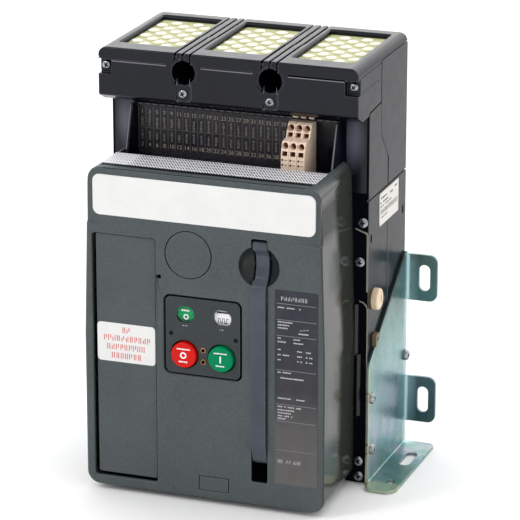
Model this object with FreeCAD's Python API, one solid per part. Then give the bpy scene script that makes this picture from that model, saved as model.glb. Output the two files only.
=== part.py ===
import FreeCAD, Part
import math
import os

# Three-pole air circuit breaker for fixed mounting, non-automatic (no trip unit fitted).
# Millimetres. +X is to the right of someone facing the front, +Z is up, the front faces -Y.
# The origin lies under the middle of the breaker, on the surface that the foot brackets stand on.
# "depth" is always the distance forward of the rear mounting plane.

# ---- driving dimensions -------------------------------------------------------------------------
WIDTH = 210.0                # moulded body, side to side
HEIGHT = 341.0               # feet to the top of the arc chutes
DEPTH = 178.0                # rear mounting plane to the front of the charging handle
POLE_PITCH = 70.0
POLES = {"left": -POLE_PITCH, "centre": 0.0, "right": POLE_PITCH}

BODY_BOTTOM = 1.0            # the mouldings hang just clear of the surface
WALL = 4.0                   # moulded walls
SEAM = 0.15                  # half of the gap between two mouldings
FIT = 0.05                   # radial clearance of a shaft in its bearing

REAR_DEPTH = 47.0            # parting plane between the rear and front housings
CHAMBER_HALF = 31.0          # half of the width of one pole's chamber
CHAMBER_BACK = 5.0
PORT_HALF = 24.0             # openings in the rear wall for the terminals
UPPER_PORT_Z = (205.0, 250.0)
LOWER_PORT_Z = (50.0, 95.0)
LEVER_PORT_HALF = 8.0        # opening in front of each contact arm for its striking lever
LEVER_PORT_Z = (136.0, 184.0)
SCREEN_SEAT_HALF = 26.0      # opening in the rear housing's top under each vent screen
PAD_GAP = 0.2                # terminal pad to the edge of its opening
PAD_DEPTHS = (0.8, 10.0)
BOLT_X = 13.0
BOLT_R = 5.0
CHUTE_SEAM_DEPTH = 65.0      # rear face of the deep part of the arc chutes
FLANGE_DEPTH = 94.0          # front face of the front housing
FLANGE_TOP = 297.6
ROOM_SPLIT = 246.0           # height of the shelf between the shaft room and the wiring space
ROOM_TOP = 292.0
DOORWAY_HALF = 30.0          # the mechanism reaches the shaft room through this opening
DOORWAY_Z = (60.0, 225.0)
CHUTE_FRONT_DEPTH = 121.5
SHOULDER_LOW = 254.0         # the parting plane slopes forward between these two heights
SHOULDER_HIGH = 277.0
CHUTE_UNDERSIDE = 302.0
CAP_SEAM = 334.5             # top of the rear housing, underside of the chutes' caps
VENT_HALF_WIDTH = 24.0
VENT_DEPTHS = (11.5, 102.0)
VENT_RECESS = 4.0
VENT_THICKNESS = 3.0
VENT_PITCH = (18.2, 17.35)     # spacing of the holes in one row, and of every second row
VENT_HOLE_R = 4.6
TOOL_HOLE_X = 35.0
TOOL_HOLE_Z = 326.0
TOOL_HOLE_R = 9.35
TOOL_RING_R = 11.4
CHUTE_SPLIT_OFFSET = 6.0     # the chutes part this far left of each tool hole

COVER_FRONT = 175.0
COVER_HALF_FRONT = 97.5
COVER_HALF_REAR = 94.5
COVER_BOTTOM = 4.0
COVER_TOP = 262.0
COVER_WALL = 3.0
COVER_CORNER_R = 11.0
COVER_EDGE_R = 2.5
COVER_TOP_REAR = 134.0       # the flat top runs from here to the front
TERMINAL_HALF = 84.0
TERMINAL_Z = (240.0, 294.0)
TERMINAL_PITCH = 6.1
WIRING_BLOCK_X = (45.6, 6.3)             # left side, width of one way

BRACKET_T = 2.5
BRACKET_FRONT = 97.0         # front edge of the bracket's side plate
BRACKET_TOP = 163.0
TAB_HALF_HEIGHT = 19.3
TAB_REACH = 133.0            # half of the width over the mounting tabs
TAB_SLOT_X = 122.5
TAB_SLOT_Z = (39.9, 142.6)
SLOT_R = 4.5
TAB_SLOT_LENGTH = 21.5
FOOT_FRONT = {1: 111.0, -1: 86.0}       # the left foot is the shorter one
FOOT_SLOT_DEPTH = 39.0
FOOT_SLOT_LENGTH = 28.0
FOOT_HOLE_DEPTH = 90.0
FOOT_HOLE_R = 4.0

BRACKET_SCREWS = ((91.3, 70.4), (91.3, 28.6), (5.2, 78.1))           # depth, z
FLANGE_SCREWS = ((100.7, 213.0), (98.6, 181.6), (99.2, 19.0), (99.0, 6.9))       # x, z
CHUTE_SCREWS = ((-35.0, 309.6), (35.0, 309.6), (-100.0, 326.5), (100.0, 326.5))  # x, z

POLE_SHAFT = (78.2, 148.0)   # (depth, height) of shaft centres
CAM_SHAFT = (150.0, 60.0)
CONTACT_PIVOT = (22.0, 100.0)
CONTACT_PIN_R = 4.0
CONTACT_HALF = 7.5           # half of the width of the contact faces
ARM_HALF = 10.5
EAR_X = (11.5, 16.0)         # inner and outer faces of the pivot's ears
SPLITTER_HALF = 28.0
SPLITTER_Z = (226.0, 322.0)
SPLITTER_PITCH = 6.0
SPLITTER_T = 1.5
TRIP_SHAFT = (140.0, 104.0)
CLOSE_SHAFT = (140.0, 136.0)
FLAG_ROD = (158.0, 152.0)
PLATE_X = (33.0, 36.0)       # inner and outer faces of the mechanism side plates
SPACERS = ((118.0, 60.0), (118.0, 190.0))
POLE_SHAFT_R = 8.0
POLE_JOURNAL_R = 6.0
POLE_JOURNAL_X = 98.0        # the shaft steps down to its journals here
LEVER_LENGTH = 43.8          # pole shaft axis to the nose of a striking lever
LEVER_ANGLE = 31.2
CRANK_LENGTH = 24.7
CRANK_ANGLE = 25.9
CAP_R = 8.6
CAP_HEIGHT = 5.1
PEG = (80.0, 116.4, 3.4)     # depth, height, radius
CAM_SHAFT_R = 5.0
LATCH_SHAFT_R = 4.0
FLAG_ROD_R = 2.0
SPACER_R = 4.0

HANDLE_X = 45.6
HANDLE_WIDTH = 11.8
HANDLE_SLOT_HALF = 6.5
HANDLE_SLOT_Z = (23.0, 218.0)
SCALLOP = (45.3, 196.5)      # finger scallop round the handle's grip
SCALLOP_R = 16.5
SCALLOP_DEPTH = 8.0

BUTTON_X = 15.0
BUTTON_Z = 120.0
BUTTON_R = 10.5
BUTTON_FRONT = 177.5
BUTTON_STEM = (144.6, 169.5, 4.0)        # rear end, front end, radius
PANEL_FRONT = 174.4
PANEL_RIM = (169.5, 171.9)   # depths of the panel's hidden flange
FLAG_Z = 152.0
PANEL = (-31.4, 31.0, 103.6, 166.6)      # x, x, z, z of the button panel
BLANK = (-89.8, -39.0, 12.0, 209.3)      # opening for the blanking panel
BLANK_FRONT = 172.5
LOCK_PLUG = (-11.5, 199.7, 18.7)         # x, z, radius
PLUG_DEPTHS = (171.0, 174.7)
COUNTER = (-3.6, 20.6, 11.0, 22.5)
PANEL_SCREWS = ((-26.0, 136.0), (26.5, 135.8))
SOCKET_Z = (115.6, 124.8)
FRONT_LABEL = (-88.6, 89.4, 224.7, 256.2)
RATING_PLATE = (58.2, 92.2, 25.0, 180.5)
CAUTION_LABEL = (-86.9, -39.8, 106.8, 137.8)
SIDE_LABEL = (19.9, 67.8, 202.8, 229.0)  # depth, depth, z, z
LABEL_T = 0.3

OPEN_ANGLE = 8.0             # the open contact arms lean forward by this much
REAR_Y = DEPTH / 2.0
HALF = WIDTH / 2.0


# ---- building helpers ---------------------------------------------------------------------------
def at(x, depth, z):
    return FreeCAD.Vector(x, REAR_Y - depth, z)


def block(x0, x1, d0, d1, z0, z1):
    return Part.makeBox(x1 - x0, d1 - d0, z1 - z0, at(x0, d1, z0))


def rod_x(x0, x1, centre, r):
    return Part.makeCylinder(r, x1 - x0, at(x0, centre[0], centre[1]), FreeCAD.Vector(1, 0, 0))


def rod_y(d0, d1, x, z, r):
    return Part.makeCylinder(r, d1 - d0, at(x, d0, z), FreeCAD.Vector(0, -1, 0))


def side_prism(points, x0, x1):
    """Outline of (depth, height) points, extruded along X."""
    ring = [at(x0, d, z) for d, z in points]
    face = Part.Face(Part.makePolygon(ring + ring[:1]))
    return face.extrude(FreeCAD.Vector(x1 - x0, 0, 0))


def front_prism(points, d0, d1):
    """Outline of (x, height) points, extruded forward along the depth."""
    ring = [at(x, d0, z) for x, z in points]
    face = Part.Face(Part.makePolygon(ring + ring[:1]))
    return face.extrude(FreeCAD.Vector(0, d0 - d1, 0))


def rounded_wire(x0, x1, z0, z1, r, depth):
    """Rounded rectangle in a plane of constant depth."""
    corners = ((x1 - r, z1 - r, 45), (x0 + r, z1 - r, 135), (x0 + r, z0 + r, 225), (x1 - r, z0 + r, 315))
    arcs = []
    for cx, cz, middle in corners:
        ends = []
        for angle in (middle - 45, middle, middle + 45):
            a = math.radians(angle)
            ends.append(at(cx + r * math.cos(a), depth, cz + r * math.sin(a)))
        arcs.append(Part.Arc(*ends).toShape())
    edges = []
    for index, arc in enumerate(arcs):
        following = arcs[(index + 1) % len(arcs)]
        edges.append(arc)
        edges.append(Part.makeLine(arc.Vertexes[-1].Point, following.Vertexes[0].Point))
    return Part.Wire(edges)


def rounded_plate(x0, x1, d0, d1, z0, z1, r):
    face = Part.Face(rounded_wire(x0, x1, z0, z1, r, d0))
    return face.extrude(FreeCAD.Vector(0, d0 - d1, 0))


def slot_y(x, z, length, r, d0, d1):
    """Upright slot, cut along the depth."""
    half = length / 2.0 - r
    body = block(x - r, x + r, d0, d1, z - half, z + half)
    return body.fuse([rod_y(d0, d1, x, z - half, r), rod_y(d0, d1, x, z + half, r)])


def pan_head_y(x, z, depth, r=3.6, height=2.4):
    """Pan head with a cross recess, standing forward of a face."""
    head = rod_y(depth, depth + height, x, z, r)
    rim = [e for e in head.Edges if abs(e.CenterOfMass.y - (REAR_Y - depth - height)) < 1e-6]
    head = head.makeFillet(0.9, rim[:1])
    cross = block(x - 2.0, x + 2.0, depth + height - 1.2, depth + height + 1, z - 0.5, z + 0.5)
    upright = block(x - 0.5, x + 0.5, depth + height - 1.2, depth + height + 1, z - 2.0, z + 2.0)
    return head.cut([cross, upright])


def pan_head_x(side, x, depth, z, r=5.0, height=2.6):
    """Domed head standing outward from a side plate."""
    direction = FreeCAD.Vector(side, 0, 0)
    head = Part.makeCylinder(r, height, at(side * x, depth, z), direction)
    rim = [e for e in head.Edges if abs(abs(e.CenterOfMass.x) - (x + height)) < 1e-6]
    head = head.makeFillet(1.4, rim[:1])
    recess = Part.makeCylinder(1.8, 1.4, at(side * (x + height - 1.4), depth, z), direction)
    return head.cut(recess)


def turned(shape, pivot, degrees):
    """Turn a shape about an X axis through a (depth, height) point."""
    copy = shape.copy()
    copy.rotate(at(0, pivot[0], pivot[1]), FreeCAD.Vector(1, 0, 0), degrees)
    return copy


def coil(x, depth, z0, z1, r, wire_r, turns):
    """Closed-ended coil spring standing upright."""
    pitch = (z1 - z0) / turns
    path = Part.makeHelix(pitch, z1 - z0, r)
    path.translate(at(x, depth, z0))
    start = path.Vertexes[0].Point
    section = Part.Wire(Part.makeCircle(wire_r, start, FreeCAD.Vector(0, 1, 0)))
    return Part.Wire(path).makePipeShell([section], True, True)


def save(name, shape):
    if isinstance(shape, list):
        shape = Part.makeCompound(shape)
    for solid in shape.Solids:
        if not solid.isValid() or solid.Volume <= 0:
            raise ValueError(name + " has a faulty solid")
    shape.exportStep(os.path.join("parts", name + ".step"))
    print(f"{name:28s} {len(shape.Solids)} solids {shape.Volume / 1000:9.2f} cm3")


# ---- housings -----------------------------------------------------------------------------------
def rear_housing():
    """Moulding behind the parting plane: three open-topped pole chambers."""
    front = REAR_DEPTH - SEAM
    upper = CHUTE_SEAM_DEPTH - SEAM
    outline = [(0, BODY_BOTTOM), (front, BODY_BOTTOM), (front, SHOULDER_LOW),
               (upper, SHOULDER_HIGH), (upper, CAP_SEAM), (0, CAP_SEAM)]
    body = side_prism(outline, -HALF, HALF)
    cuts = []
    for x in POLES.values():
        chamber = [(CHAMBER_BACK, 6), (front - WALL, 6), (front - WALL, SHOULDER_LOW + 2),
                   (upper - WALL, SHOULDER_HIGH + 2), (upper - WALL, HEIGHT), (CHAMBER_BACK, HEIGHT)]
        cuts.append(side_prism(chamber, x - CHAMBER_HALF, x + CHAMBER_HALF))
        cuts.append(block(x - SCREEN_SEAT_HALF, x + SCREEN_SEAT_HALF, 13, 70, 332, HEIGHT))
        cuts.append(block(x - PORT_HALF, x + PORT_HALF, -1, CHAMBER_BACK + 1, *UPPER_PORT_Z))
        cuts.append(block(x - PORT_HALF, x + PORT_HALF, -1, CHAMBER_BACK + 1, *LOWER_PORT_Z))
        cuts.append(block(x - LEVER_PORT_HALF, x + LEVER_PORT_HALF, 40, 50, *LEVER_PORT_Z))
    return body.cut(cuts)


def front_housing():
    """Moulding in front of the pole chambers: shaft chamber and cover flange."""
    rear = REAR_DEPTH + SEAM
    outline = [(rear, BODY_BOTTOM), (FLANGE_DEPTH, BODY_BOTTOM), (FLANGE_DEPTH, FLANGE_TOP),
               (FLANGE_DEPTH - 1.8, FLANGE_TOP + 2.3), (CHUTE_SEAM_DEPTH + SEAM, CHUTE_UNDERSIDE - 0.6),
               (CHUTE_SEAM_DEPTH + SEAM, SHOULDER_HIGH), (rear, SHOULDER_LOW)]
    body = side_prism(outline, -HALF, HALF)
    inner = HALF - WALL
    back = FLANGE_DEPTH - WALL
    cuts = [block(-inner, inner, 40, back, 5, ROOM_SPLIT),
            block(-inner, inner, 70, back, ROOM_SPLIT, ROOM_TOP),
            block(-DOORWAY_HALF, DOORWAY_HALF, 80, 100, *DOORWAY_Z)]
    for side in (-1, 1):
        middle = side * (HALF - WALL / 2.0)
        cuts.append(rod_x(middle - 3, middle + 3, POLE_SHAFT, POLE_JOURNAL_R + FIT))
    return body.cut(cuts)


def arc_chute(x0, x1, pole_x, own_hole, other_hole):
    """One moulded arc chute housing with its cap and front block."""
    outline = [(0, CAP_SEAM + SEAM), (CHUTE_SEAM_DEPTH + SEAM, CAP_SEAM + SEAM),
               (CHUTE_SEAM_DEPTH + SEAM, CHUTE_UNDERSIDE), (92.4, 300.4), (94.2, 298.0),
               (110.5, 297.3), (CHUTE_FRONT_DEPTH, 303.0), (CHUTE_FRONT_DEPTH, HEIGHT), (0, HEIGHT)]
    body = side_prism(outline, x0 + SEAM, x1 - SEAM)
    if own_hole is not None:
        ring = rod_y(CHUTE_SEAM_DEPTH + SEAM, CHUTE_FRONT_DEPTH, own_hole, TOOL_HOLE_Z, TOOL_RING_R)
        body = body.fuse(ring)
        body = body.cut(rod_y(60, 125, own_hole, TOOL_HOLE_Z, TOOL_HOLE_R))
    if other_hole is not None:
        body = body.cut(rod_y(60, 125, other_hole, TOOL_HOLE_Z, TOOL_RING_R + 2 * SEAM))
    near, far = VENT_DEPTHS
    half = VENT_HALF_WIDTH
    lip = HEIGHT - VENT_RECESS
    window = block(pole_x - half, pole_x + half, near, far, lip - 1, HEIGHT + 1)
    left, right = pole_x - half - 2, pole_x + half + 2
    if own_hole is not None:
        left = max(left, own_hole + TOOL_HOLE_R + 2)
    if other_hole is not None:
        right = min(right, other_hole - TOOL_RING_R - 2)
    seat = lip - VENT_THICKNESS - 0.5
    pocket = block(pole_x - half - 2, pole_x + half + 2, near - 2, far + 2, seat, lip)
    chamber = block(left, right, CHUTE_SEAM_DEPTH - 5, far + 2, 306, seat + 1)
    return body.cut([window, pocket, chamber])


def vent_screen(pole_x):
    """Perforated screen that cools and vents the arc gases."""
    near, far = VENT_DEPTHS
    top = HEIGHT - VENT_RECESS
    half = VENT_HALF_WIDTH + 1.7
    plate = block(pole_x - half, pole_x + half, near - 1.7, far + 1.7, top - VENT_THICKNESS, top)
    holes = []
    rows = 9
    middle = (near + far) / 2.0
    for row in range(rows):
        count = 2 if row % 2 == 0 else 3
        for column in range(count):
            x = pole_x + (column - (count - 1) / 2.0) * VENT_PITCH[0]
            depth = middle + (row - (rows - 1) / 2.0) * VENT_PITCH[1] / 2.0
            base = at(x, depth, top - VENT_THICKNESS - 1)
            holes.append(Part.makeCylinder(VENT_HOLE_R, VENT_THICKNESS + 2, base))
    return plate.cut(holes)


def splitter_plates(pole_x):
    """Steel plates that divide the arc, stacked across the chamber."""
    plates = []
    for index in range(5):
        depth = 16 + SPLITTER_PITCH * index
        plate = block(pole_x - SPLITTER_HALF, pole_x + SPLITTER_HALF, depth, depth + SPLITTER_T, *SPLITTER_Z)
        notch = front_prism([(pole_x - 9, 225), (pole_x + 9, 225), (pole_x, 250)], depth - 1, depth + 3)
        plates.append(plate.cut(notch))
    return plates


# ---- current path -------------------------------------------------------------------------------
def terminal_pad(pole_x, port_z):
    """Pad that fills one opening of the rear wall, with two bolt holes."""
    half = PORT_HALF - PAD_GAP
    pad = block(pole_x - half, pole_x + half, *PAD_DEPTHS, port_z[0] + PAD_GAP, port_z[1] - PAD_GAP)
    middle = (port_z[0] + port_z[1]) / 2.0
    holes = [rod_y(-1, 12, pole_x + dx, middle, BOLT_R) for dx in (-BOLT_X, BOLT_X)]
    return pad.cut(holes)


def upper_terminal(pole_x):
    """Connection pad with the fixed contact on its foot."""
    pad = terminal_pad(pole_x, UPPER_PORT_Z)
    contact = block(pole_x - CONTACT_HALF, pole_x + CONTACT_HALF, 9, 17.1, 186, 214)
    return pad.fuse(contact).removeSplitter()


def lower_terminal(pole_x):
    """Connection pad with two ears for the contact arm's pivot."""
    pad = terminal_pad(pole_x, LOWER_PORT_Z)
    ears = []
    for side in (-1, 1):
        inner, outer = sorted((pole_x + side * EAR_X[0], pole_x + side * EAR_X[1]))
        ears.append(block(inner, outer, 9, 29, 80, 108))
    body = pad.fuse(ears).removeSplitter()
    return body.cut(rod_x(pole_x - 20, pole_x + 20, CONTACT_PIVOT, CONTACT_PIN_R))


def contact_pivot_pins():
    return [rod_x(x - EAR_X[1], x + EAR_X[1], CONTACT_PIVOT, CONTACT_PIN_R) for x in POLES.values()]


def moving_contact(pole_x):
    """Contact arm, drawn upright and then leaned forward into the open position."""
    d, z = CONTACT_PIVOT
    arm = block(pole_x - ARM_HALF, pole_x + ARM_HALF, d - 4.5, d + 4.5, z - 2, 206)
    hub = rod_x(pole_x - ARM_HALF, pole_x + ARM_HALF, CONTACT_PIVOT, 8.5)
    tip = block(pole_x - CONTACT_HALF, pole_x + CONTACT_HALF, d - 4.5, d + 4.5, 204, 210)
    arm = arm.fuse([hub, tip]).removeSplitter()
    arm = arm.cut(rod_x(pole_x - 12, pole_x + 12, CONTACT_PIVOT, CONTACT_PIN_R + FIT))
    return turned(arm, CONTACT_PIVOT, OPEN_ANGLE)


# ---- operating mechanism ------------------------------------------------------------------------
def pole_shaft():
    """Shaft across the poles with one striking lever per pole and a drive crank."""
    d, z = POLE_SHAFT
    shaft = rod_x(-POLE_JOURNAL_X, POLE_JOURNAL_X, POLE_SHAFT, POLE_SHAFT_R)
    pieces = [rod_x(-HALF + 1, -POLE_JOURNAL_X, POLE_SHAFT, POLE_JOURNAL_R),
              rod_x(POLE_JOURNAL_X, HALF - 1, POLE_SHAFT, POLE_JOURNAL_R)]
    tip = d - LEVER_LENGTH
    for x in POLES.values():
        bar = block(x - 5, x + 5, tip, d, z - 3, z + 3)
        nose = rod_x(x - 5, x + 5, (tip, z), 3.0)
        pieces.append(turned(bar.fuse(nose), POLE_SHAFT, LEVER_ANGLE))
    pin = (d + CRANK_LENGTH, z)
    crank = block(12, 18, d, pin[0], z - 4, z + 4).fuse(rod_x(12, 18, pin, 4.0))
    pieces.append(turned(crank, POLE_SHAFT, CRANK_ANGLE))
    return shaft.fuse(pieces).removeSplitter()


def mechanism_plate(side):
    """Steel side plate, bolted to the flange, that carries the shafts."""
    inner, outer = sorted((side * PLATE_X[0], side * PLATE_X[1]))
    outline = [(FLANGE_DEPTH, 40), (160, 40), (166, 60), (166, 166), (140, 204), (FLANGE_DEPTH, 204)]
    plate = side_prism(outline, inner, outer)
    bores = [rod_x(inner - 1, outer + 1, CAM_SHAFT, CAM_SHAFT_R + FIT),
             rod_x(inner - 1, outer + 1, TRIP_SHAFT, LATCH_SHAFT_R + FIT),
             rod_x(inner - 1, outer + 1, CLOSE_SHAFT, LATCH_SHAFT_R + FIT),
             rod_x(inner - 1, outer + 1, FLAG_ROD, FLAG_ROD_R)]
    lightening = rod_x(inner - 1, outer + 1, (118, 100), 14)
    return plate.cut(bores + [lightening])


def spacer_rods():
    return [rod_x(-PLATE_X[0], PLATE_X[0], centre, SPACER_R) for centre in SPACERS]


def cam_shaft():
    return rod_x(-40, 58, CAM_SHAFT, CAM_SHAFT_R)


def closing_cam():
    """Spiral-backed cam that throws the contacts in."""
    d, z = CAM_SHAFT
    disc = rod_x(-6, 6, CAM_SHAFT, 12)
    lobe = rod_x(-6, 6, (d, z + 9), 9)
    return disc.fuse(lobe).removeSplitter().cut(rod_x(-7, 7, CAM_SHAFT, CAM_SHAFT_R))


def ratchet_wheel():
    """Toothed wheel that the charging handle advances."""
    d, z = CAM_SHAFT
    teeth = 14
    outline = []
    for tooth in range(teeth):
        start = 2 * math.pi * tooth / teeth
        finish = start + 0.9 * 2 * math.pi / teeth
        outline.append((d + 13.0 * math.cos(start), z + 13.0 * math.sin(start)))
        outline.append((d + 16.0 * math.cos(finish), z + 16.0 * math.sin(finish)))
    wheel = side_prism(outline, 52.4, 56.4)
    return wheel.cut(rod_x(52, 57, CAM_SHAFT, CAM_SHAFT_R))


def latch_shaft(centre, lever_x, lever_up):
    """Half-shaft latch with the finger that a button's stem pushes."""
    d, z = centre
    shaft = rod_x(-PLATE_X[1] - 2, PLATE_X[1] + 2, centre, LATCH_SHAFT_R)
    tip = z + 20 if lever_up else z - 20
    low, high = sorted((z, tip))
    finger = block(lever_x - 3, lever_x + 3, d, d + 4, low, high)
    return shaft.fuse(finger).removeSplitter()


def flag_rod():
    return rod_x(-PLATE_X[1], PLATE_X[1], FLAG_ROD, FLAG_ROD_R)


def indicator_flag(x):
    """Curved flag behind one of the windows."""
    drum = rod_x(x - 6.5, x + 6.5, FLAG_ROD, 10.5)
    hollow = rod_x(x - 5.5, x + 5.5, FLAG_ROD, 9.0)
    hub = rod_x(x - 5.5, x + 5.5, FLAG_ROD, 3.6)
    drum = drum.cut(hollow).fuse(hub).removeSplitter()
    back = block(x - 8, x + 8, FLAG_ROD[0] - 14, FLAG_ROD[0] - 4, FLAG_Z - 12, FLAG_Z + 12)
    return drum.cut([back, rod_x(x - 8, x + 8, FLAG_ROD, FLAG_ROD_R + FIT)])


def push_button(x):
    """Round cap on a stem."""
    tail, shoulder, stem_r = BUTTON_STEM
    cap = rod_y(shoulder, BUTTON_FRONT, x, BUTTON_Z, BUTTON_R)
    rim = [e for e in cap.Edges if abs(e.CenterOfMass.y - (REAR_Y - BUTTON_FRONT)) < 1e-6]
    cap = cap.makeFillet(1.2, rim[:1])
    stem = rod_y(tail, shoulder, x, BUTTON_Z, stem_r)
    return cap.fuse(stem).removeSplitter()


def charging_handle():
    """Lever that swings down and forward about the cam shaft."""
    d, z = CAM_SHAFT
    x0, x1 = HANDLE_X - HANDLE_WIDTH / 2.0, HANDLE_X + HANDLE_WIDTH / 2.0
    outline = [(d - 4, z - 12), (d + 12, z - 19), (168, 36.5), (173, 40), (176.6, 48), (DEPTH, 58),
               (DEPTH, 178), (176.4, 182), (171, 187), (168.6, 193), (168, 200), (169.2, 206),
               (173, 212), (172.6, 215), (169, 216.4), (161, 216), (160, 200), (161, 184), (163, 172),
               (163, 92), (158, 74), (d - 4, z + 12)]
    bar = side_prism(outline, x0, x1)
    hub = rod_x(x0, x1, CAM_SHAFT, 13.0)
    return bar.fuse(hub).removeSplitter().cut(rod_x(x0 - 1, x1 + 1, CAM_SHAFT, CAM_SHAFT_R + FIT))


# ---- front cover and what it carries ------------------------------------------------------------
def front_cover():
    """Tapered shell with rounded corners, open at the back and over the wiring terminals."""
    rear = rounded_wire(-COVER_HALF_REAR, COVER_HALF_REAR, COVER_BOTTOM, COVER_TOP, COVER_CORNER_R,
                        FLANGE_DEPTH + SEAM)
    front = rounded_wire(-COVER_HALF_FRONT, COVER_HALF_FRONT, COVER_BOTTOM, COVER_TOP, COVER_CORNER_R,
                         COVER_FRONT)
    shell = Part.makeLoft([rear, front], True, True)
    rim = [e for e in shell.Edges if abs(e.BoundBox.YMax - (REAR_Y - COVER_FRONT)) < 1e-6]
    shell = shell.makeFillet(COVER_EDGE_R, rim)
    inner = COVER_HALF_REAR - COVER_WALL
    hollow = rounded_plate(-inner, inner, FLANGE_DEPTH - 1, COVER_FRONT - COVER_WALL,
                           COVER_BOTTOM + COVER_WALL, COVER_TOP - COVER_WALL, COVER_CORNER_R - COVER_WALL)
    shell = shell.cut(hollow)
    dish_back = COVER_FRONT - SCALLOP_DEPTH - COVER_WALL
    dish = rod_y(dish_back, COVER_FRONT - 1, SCALLOP[0], SCALLOP[1], SCALLOP_R + 3)
    shell = shell.fuse(dish).removeSplitter()
    ball_r = (SCALLOP_R ** 2 + SCALLOP_DEPTH ** 2) / (2 * SCALLOP_DEPTH)
    ball_depth = COVER_FRONT - SCALLOP_DEPTH + ball_r
    scoop = Part.makeSphere(ball_r, at(SCALLOP[0], ball_depth, SCALLOP[1]))
    slot = rounded_plate(HANDLE_X - HANDLE_SLOT_HALF, HANDLE_X + HANDLE_SLOT_HALF, 150, 180,
                         HANDLE_SLOT_Z[0], HANDLE_SLOT_Z[1], 1.5)
    cuts = [scoop, slot]
    cuts.append(block(-TERMINAL_HALF - 0.5, TERMINAL_HALF + 0.5, 90, COVER_TOP_REAR, 236, 280))
    cuts.append(rounded_plate(BLANK[0], BLANK[1], 165, 180, BLANK[2], BLANK[3], 2))
    cuts.append(rounded_plate(PANEL[0], PANEL[1], 165, 180, PANEL[2], PANEL[3], 5))
    cuts.append(rod_y(165, 180, LOCK_PLUG[0], LOCK_PLUG[1], LOCK_PLUG[2] + 0.3))
    cuts.append(rounded_plate(COUNTER[0], COUNTER[1], 165, 180, COUNTER[2], COUNTER[3], 0.8))
    cuts.append(rod_y(173, 180, -35.2, 180.1, 1.6))
    return shell.cut(cuts)


def blanking_panel():
    """Panel that fills the bay where a trip unit would be."""
    x0, x1, z0, z1 = BLANK
    front = rounded_plate(x0 + 2.6, x1 - 0.4, 171.9, BLANK_FRONT, z0 + 2.5, z1 - 0.4, 2)
    rim = rounded_plate(x0 - 1.0, x1 + 1.8, 169.0, 171.9, z0 - 1, z1 + 2, 4)
    return front.fuse(rim).removeSplitter()


def window_outline(x, z, half_x, half_z, d0, d1):
    """Round window flattened at the top and bottom."""
    disc = rod_y(d0, d1, x, z, half_x)
    return disc.common(block(x - half_x, x + half_x, d0, d1, z - half_z, z + half_z))


def button_panel():
    """Raised panel with guide sleeves for the buttons and windows for the flags."""
    x0, x1, z0, z1 = PANEL
    front = rounded_plate(x0 + 0.6, x1 - 0.6, PANEL_RIM[1], PANEL_FRONT, z0 + 0.6, z1 - 0.6, 4.4)
    rim = rounded_plate(x0 - 2, x1 + 2, *PANEL_RIM, z0 - 2, z1 + 2, 4)
    sleeves = [rod_y(160, 171, x, BUTTON_Z, BUTTON_R + 2.2) for x in (-BUTTON_X, BUTTON_X)]
    body = front.fuse([rim] + sleeves).removeSplitter()
    cuts = [rod_y(150, 180, x, BUTTON_Z, BUTTON_R + 0.35) for x in (-BUTTON_X, BUTTON_X)]
    cuts += [window_outline(x, FLAG_Z, 7.2, 6.3, 160, 180) for x in (-BUTTON_X, BUTTON_X)]
    cuts += [rod_y(173, 180, x, z, 3.3) for x, z in PANEL_SCREWS]
    cuts += [rod_y(160, 180, 0.2, z, 2.4) for z in SOCKET_Z]
    return body.cut(cuts)


def indicator_lenses():
    return [window_outline(x, FLAG_Z, 7.1, 6.2, 172.0, 174.0) for x in (-BUTTON_X, BUTTON_X)]


def panel_screws():
    return [pan_head_y(x, z, 173.0, r=3.1, height=1.2) for x, z in PANEL_SCREWS]


def panel_sockets():
    """Brass sockets between the two buttons."""
    return [rod_y(168, 174.9, 0.2, z, 2.35).cut(rod_y(170, 176, 0.2, z, 1.3)) for z in SOCKET_Z]


def lock_plug():
    x, z, r = LOCK_PLUG
    plug = rod_y(*PLUG_DEPTHS, x, z, r)
    rim = [e for e in plug.Edges if abs(e.CenterOfMass.y - (REAR_Y - PLUG_DEPTHS[1])) < 1e-6]
    return plug.makeFillet(0.5, rim[:1])


def counter_blank():
    x0, x1, z0, z1 = COUNTER
    return rounded_plate(x0 + 0.4, x1 - 0.4, 171.5, 174.7, z0 + 0.4, z1 - 0.4, 0.6)


def front_label_plate():
    x0, x1, z0, z1 = FRONT_LABEL
    return rounded_plate(x0, x1, COVER_FRONT, COVER_FRONT + 0.5, z0, z1, 5.5)


def rating_plate():
    x0, x1, z0, z1 = RATING_PLATE
    return rounded_plate(x0, x1, COVER_FRONT, COVER_FRONT + LABEL_T, z0, z1, 1.0)


def caution_label():
    x0, x1, z0, z1 = CAUTION_LABEL
    return rounded_plate(x0, x1, BLANK_FRONT, BLANK_FRONT + LABEL_T, z0, z1, 3.0)


def terminal_label():
    half = TERMINAL_HALF + 1.5
    return block(-half, half, COVER_TOP_REAR + 0.4, 163.0, COVER_TOP, COVER_TOP + LABEL_T)


def terminal_carrier():
    """Black carrier for the wiring terminals: back, cheeks, tray and one slot per way."""
    low, high = TERMINAL_Z
    back = block(-TERMINAL_HALF, TERMINAL_HALF, FLANGE_DEPTH + 0.2, 98, low, high)
    tray = block(-TERMINAL_HALF, TERMINAL_HALF, 98, 131, low, 245)
    cheek = [(98, 245), (120, 245), (118, 262), (107, 294), (98, 294)]
    pieces = [tray, side_prism(cheek, -TERMINAL_HALF, -TERMINAL_HALF + 2),
              side_prism(cheek, TERMINAL_HALF - 2, TERMINAL_HALF)]
    ways = 26
    first = -TERMINAL_HALF + 6
    for way in range(ways + 1):
        x = first + way * TERMINAL_PITCH
        if 43.6 < x < 66.6:
            continue
        pieces.append(block(x - 0.6, x + 0.6, 98, 100.5, 250, 290))
    return back.fuse(pieces).removeSplitter()


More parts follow.
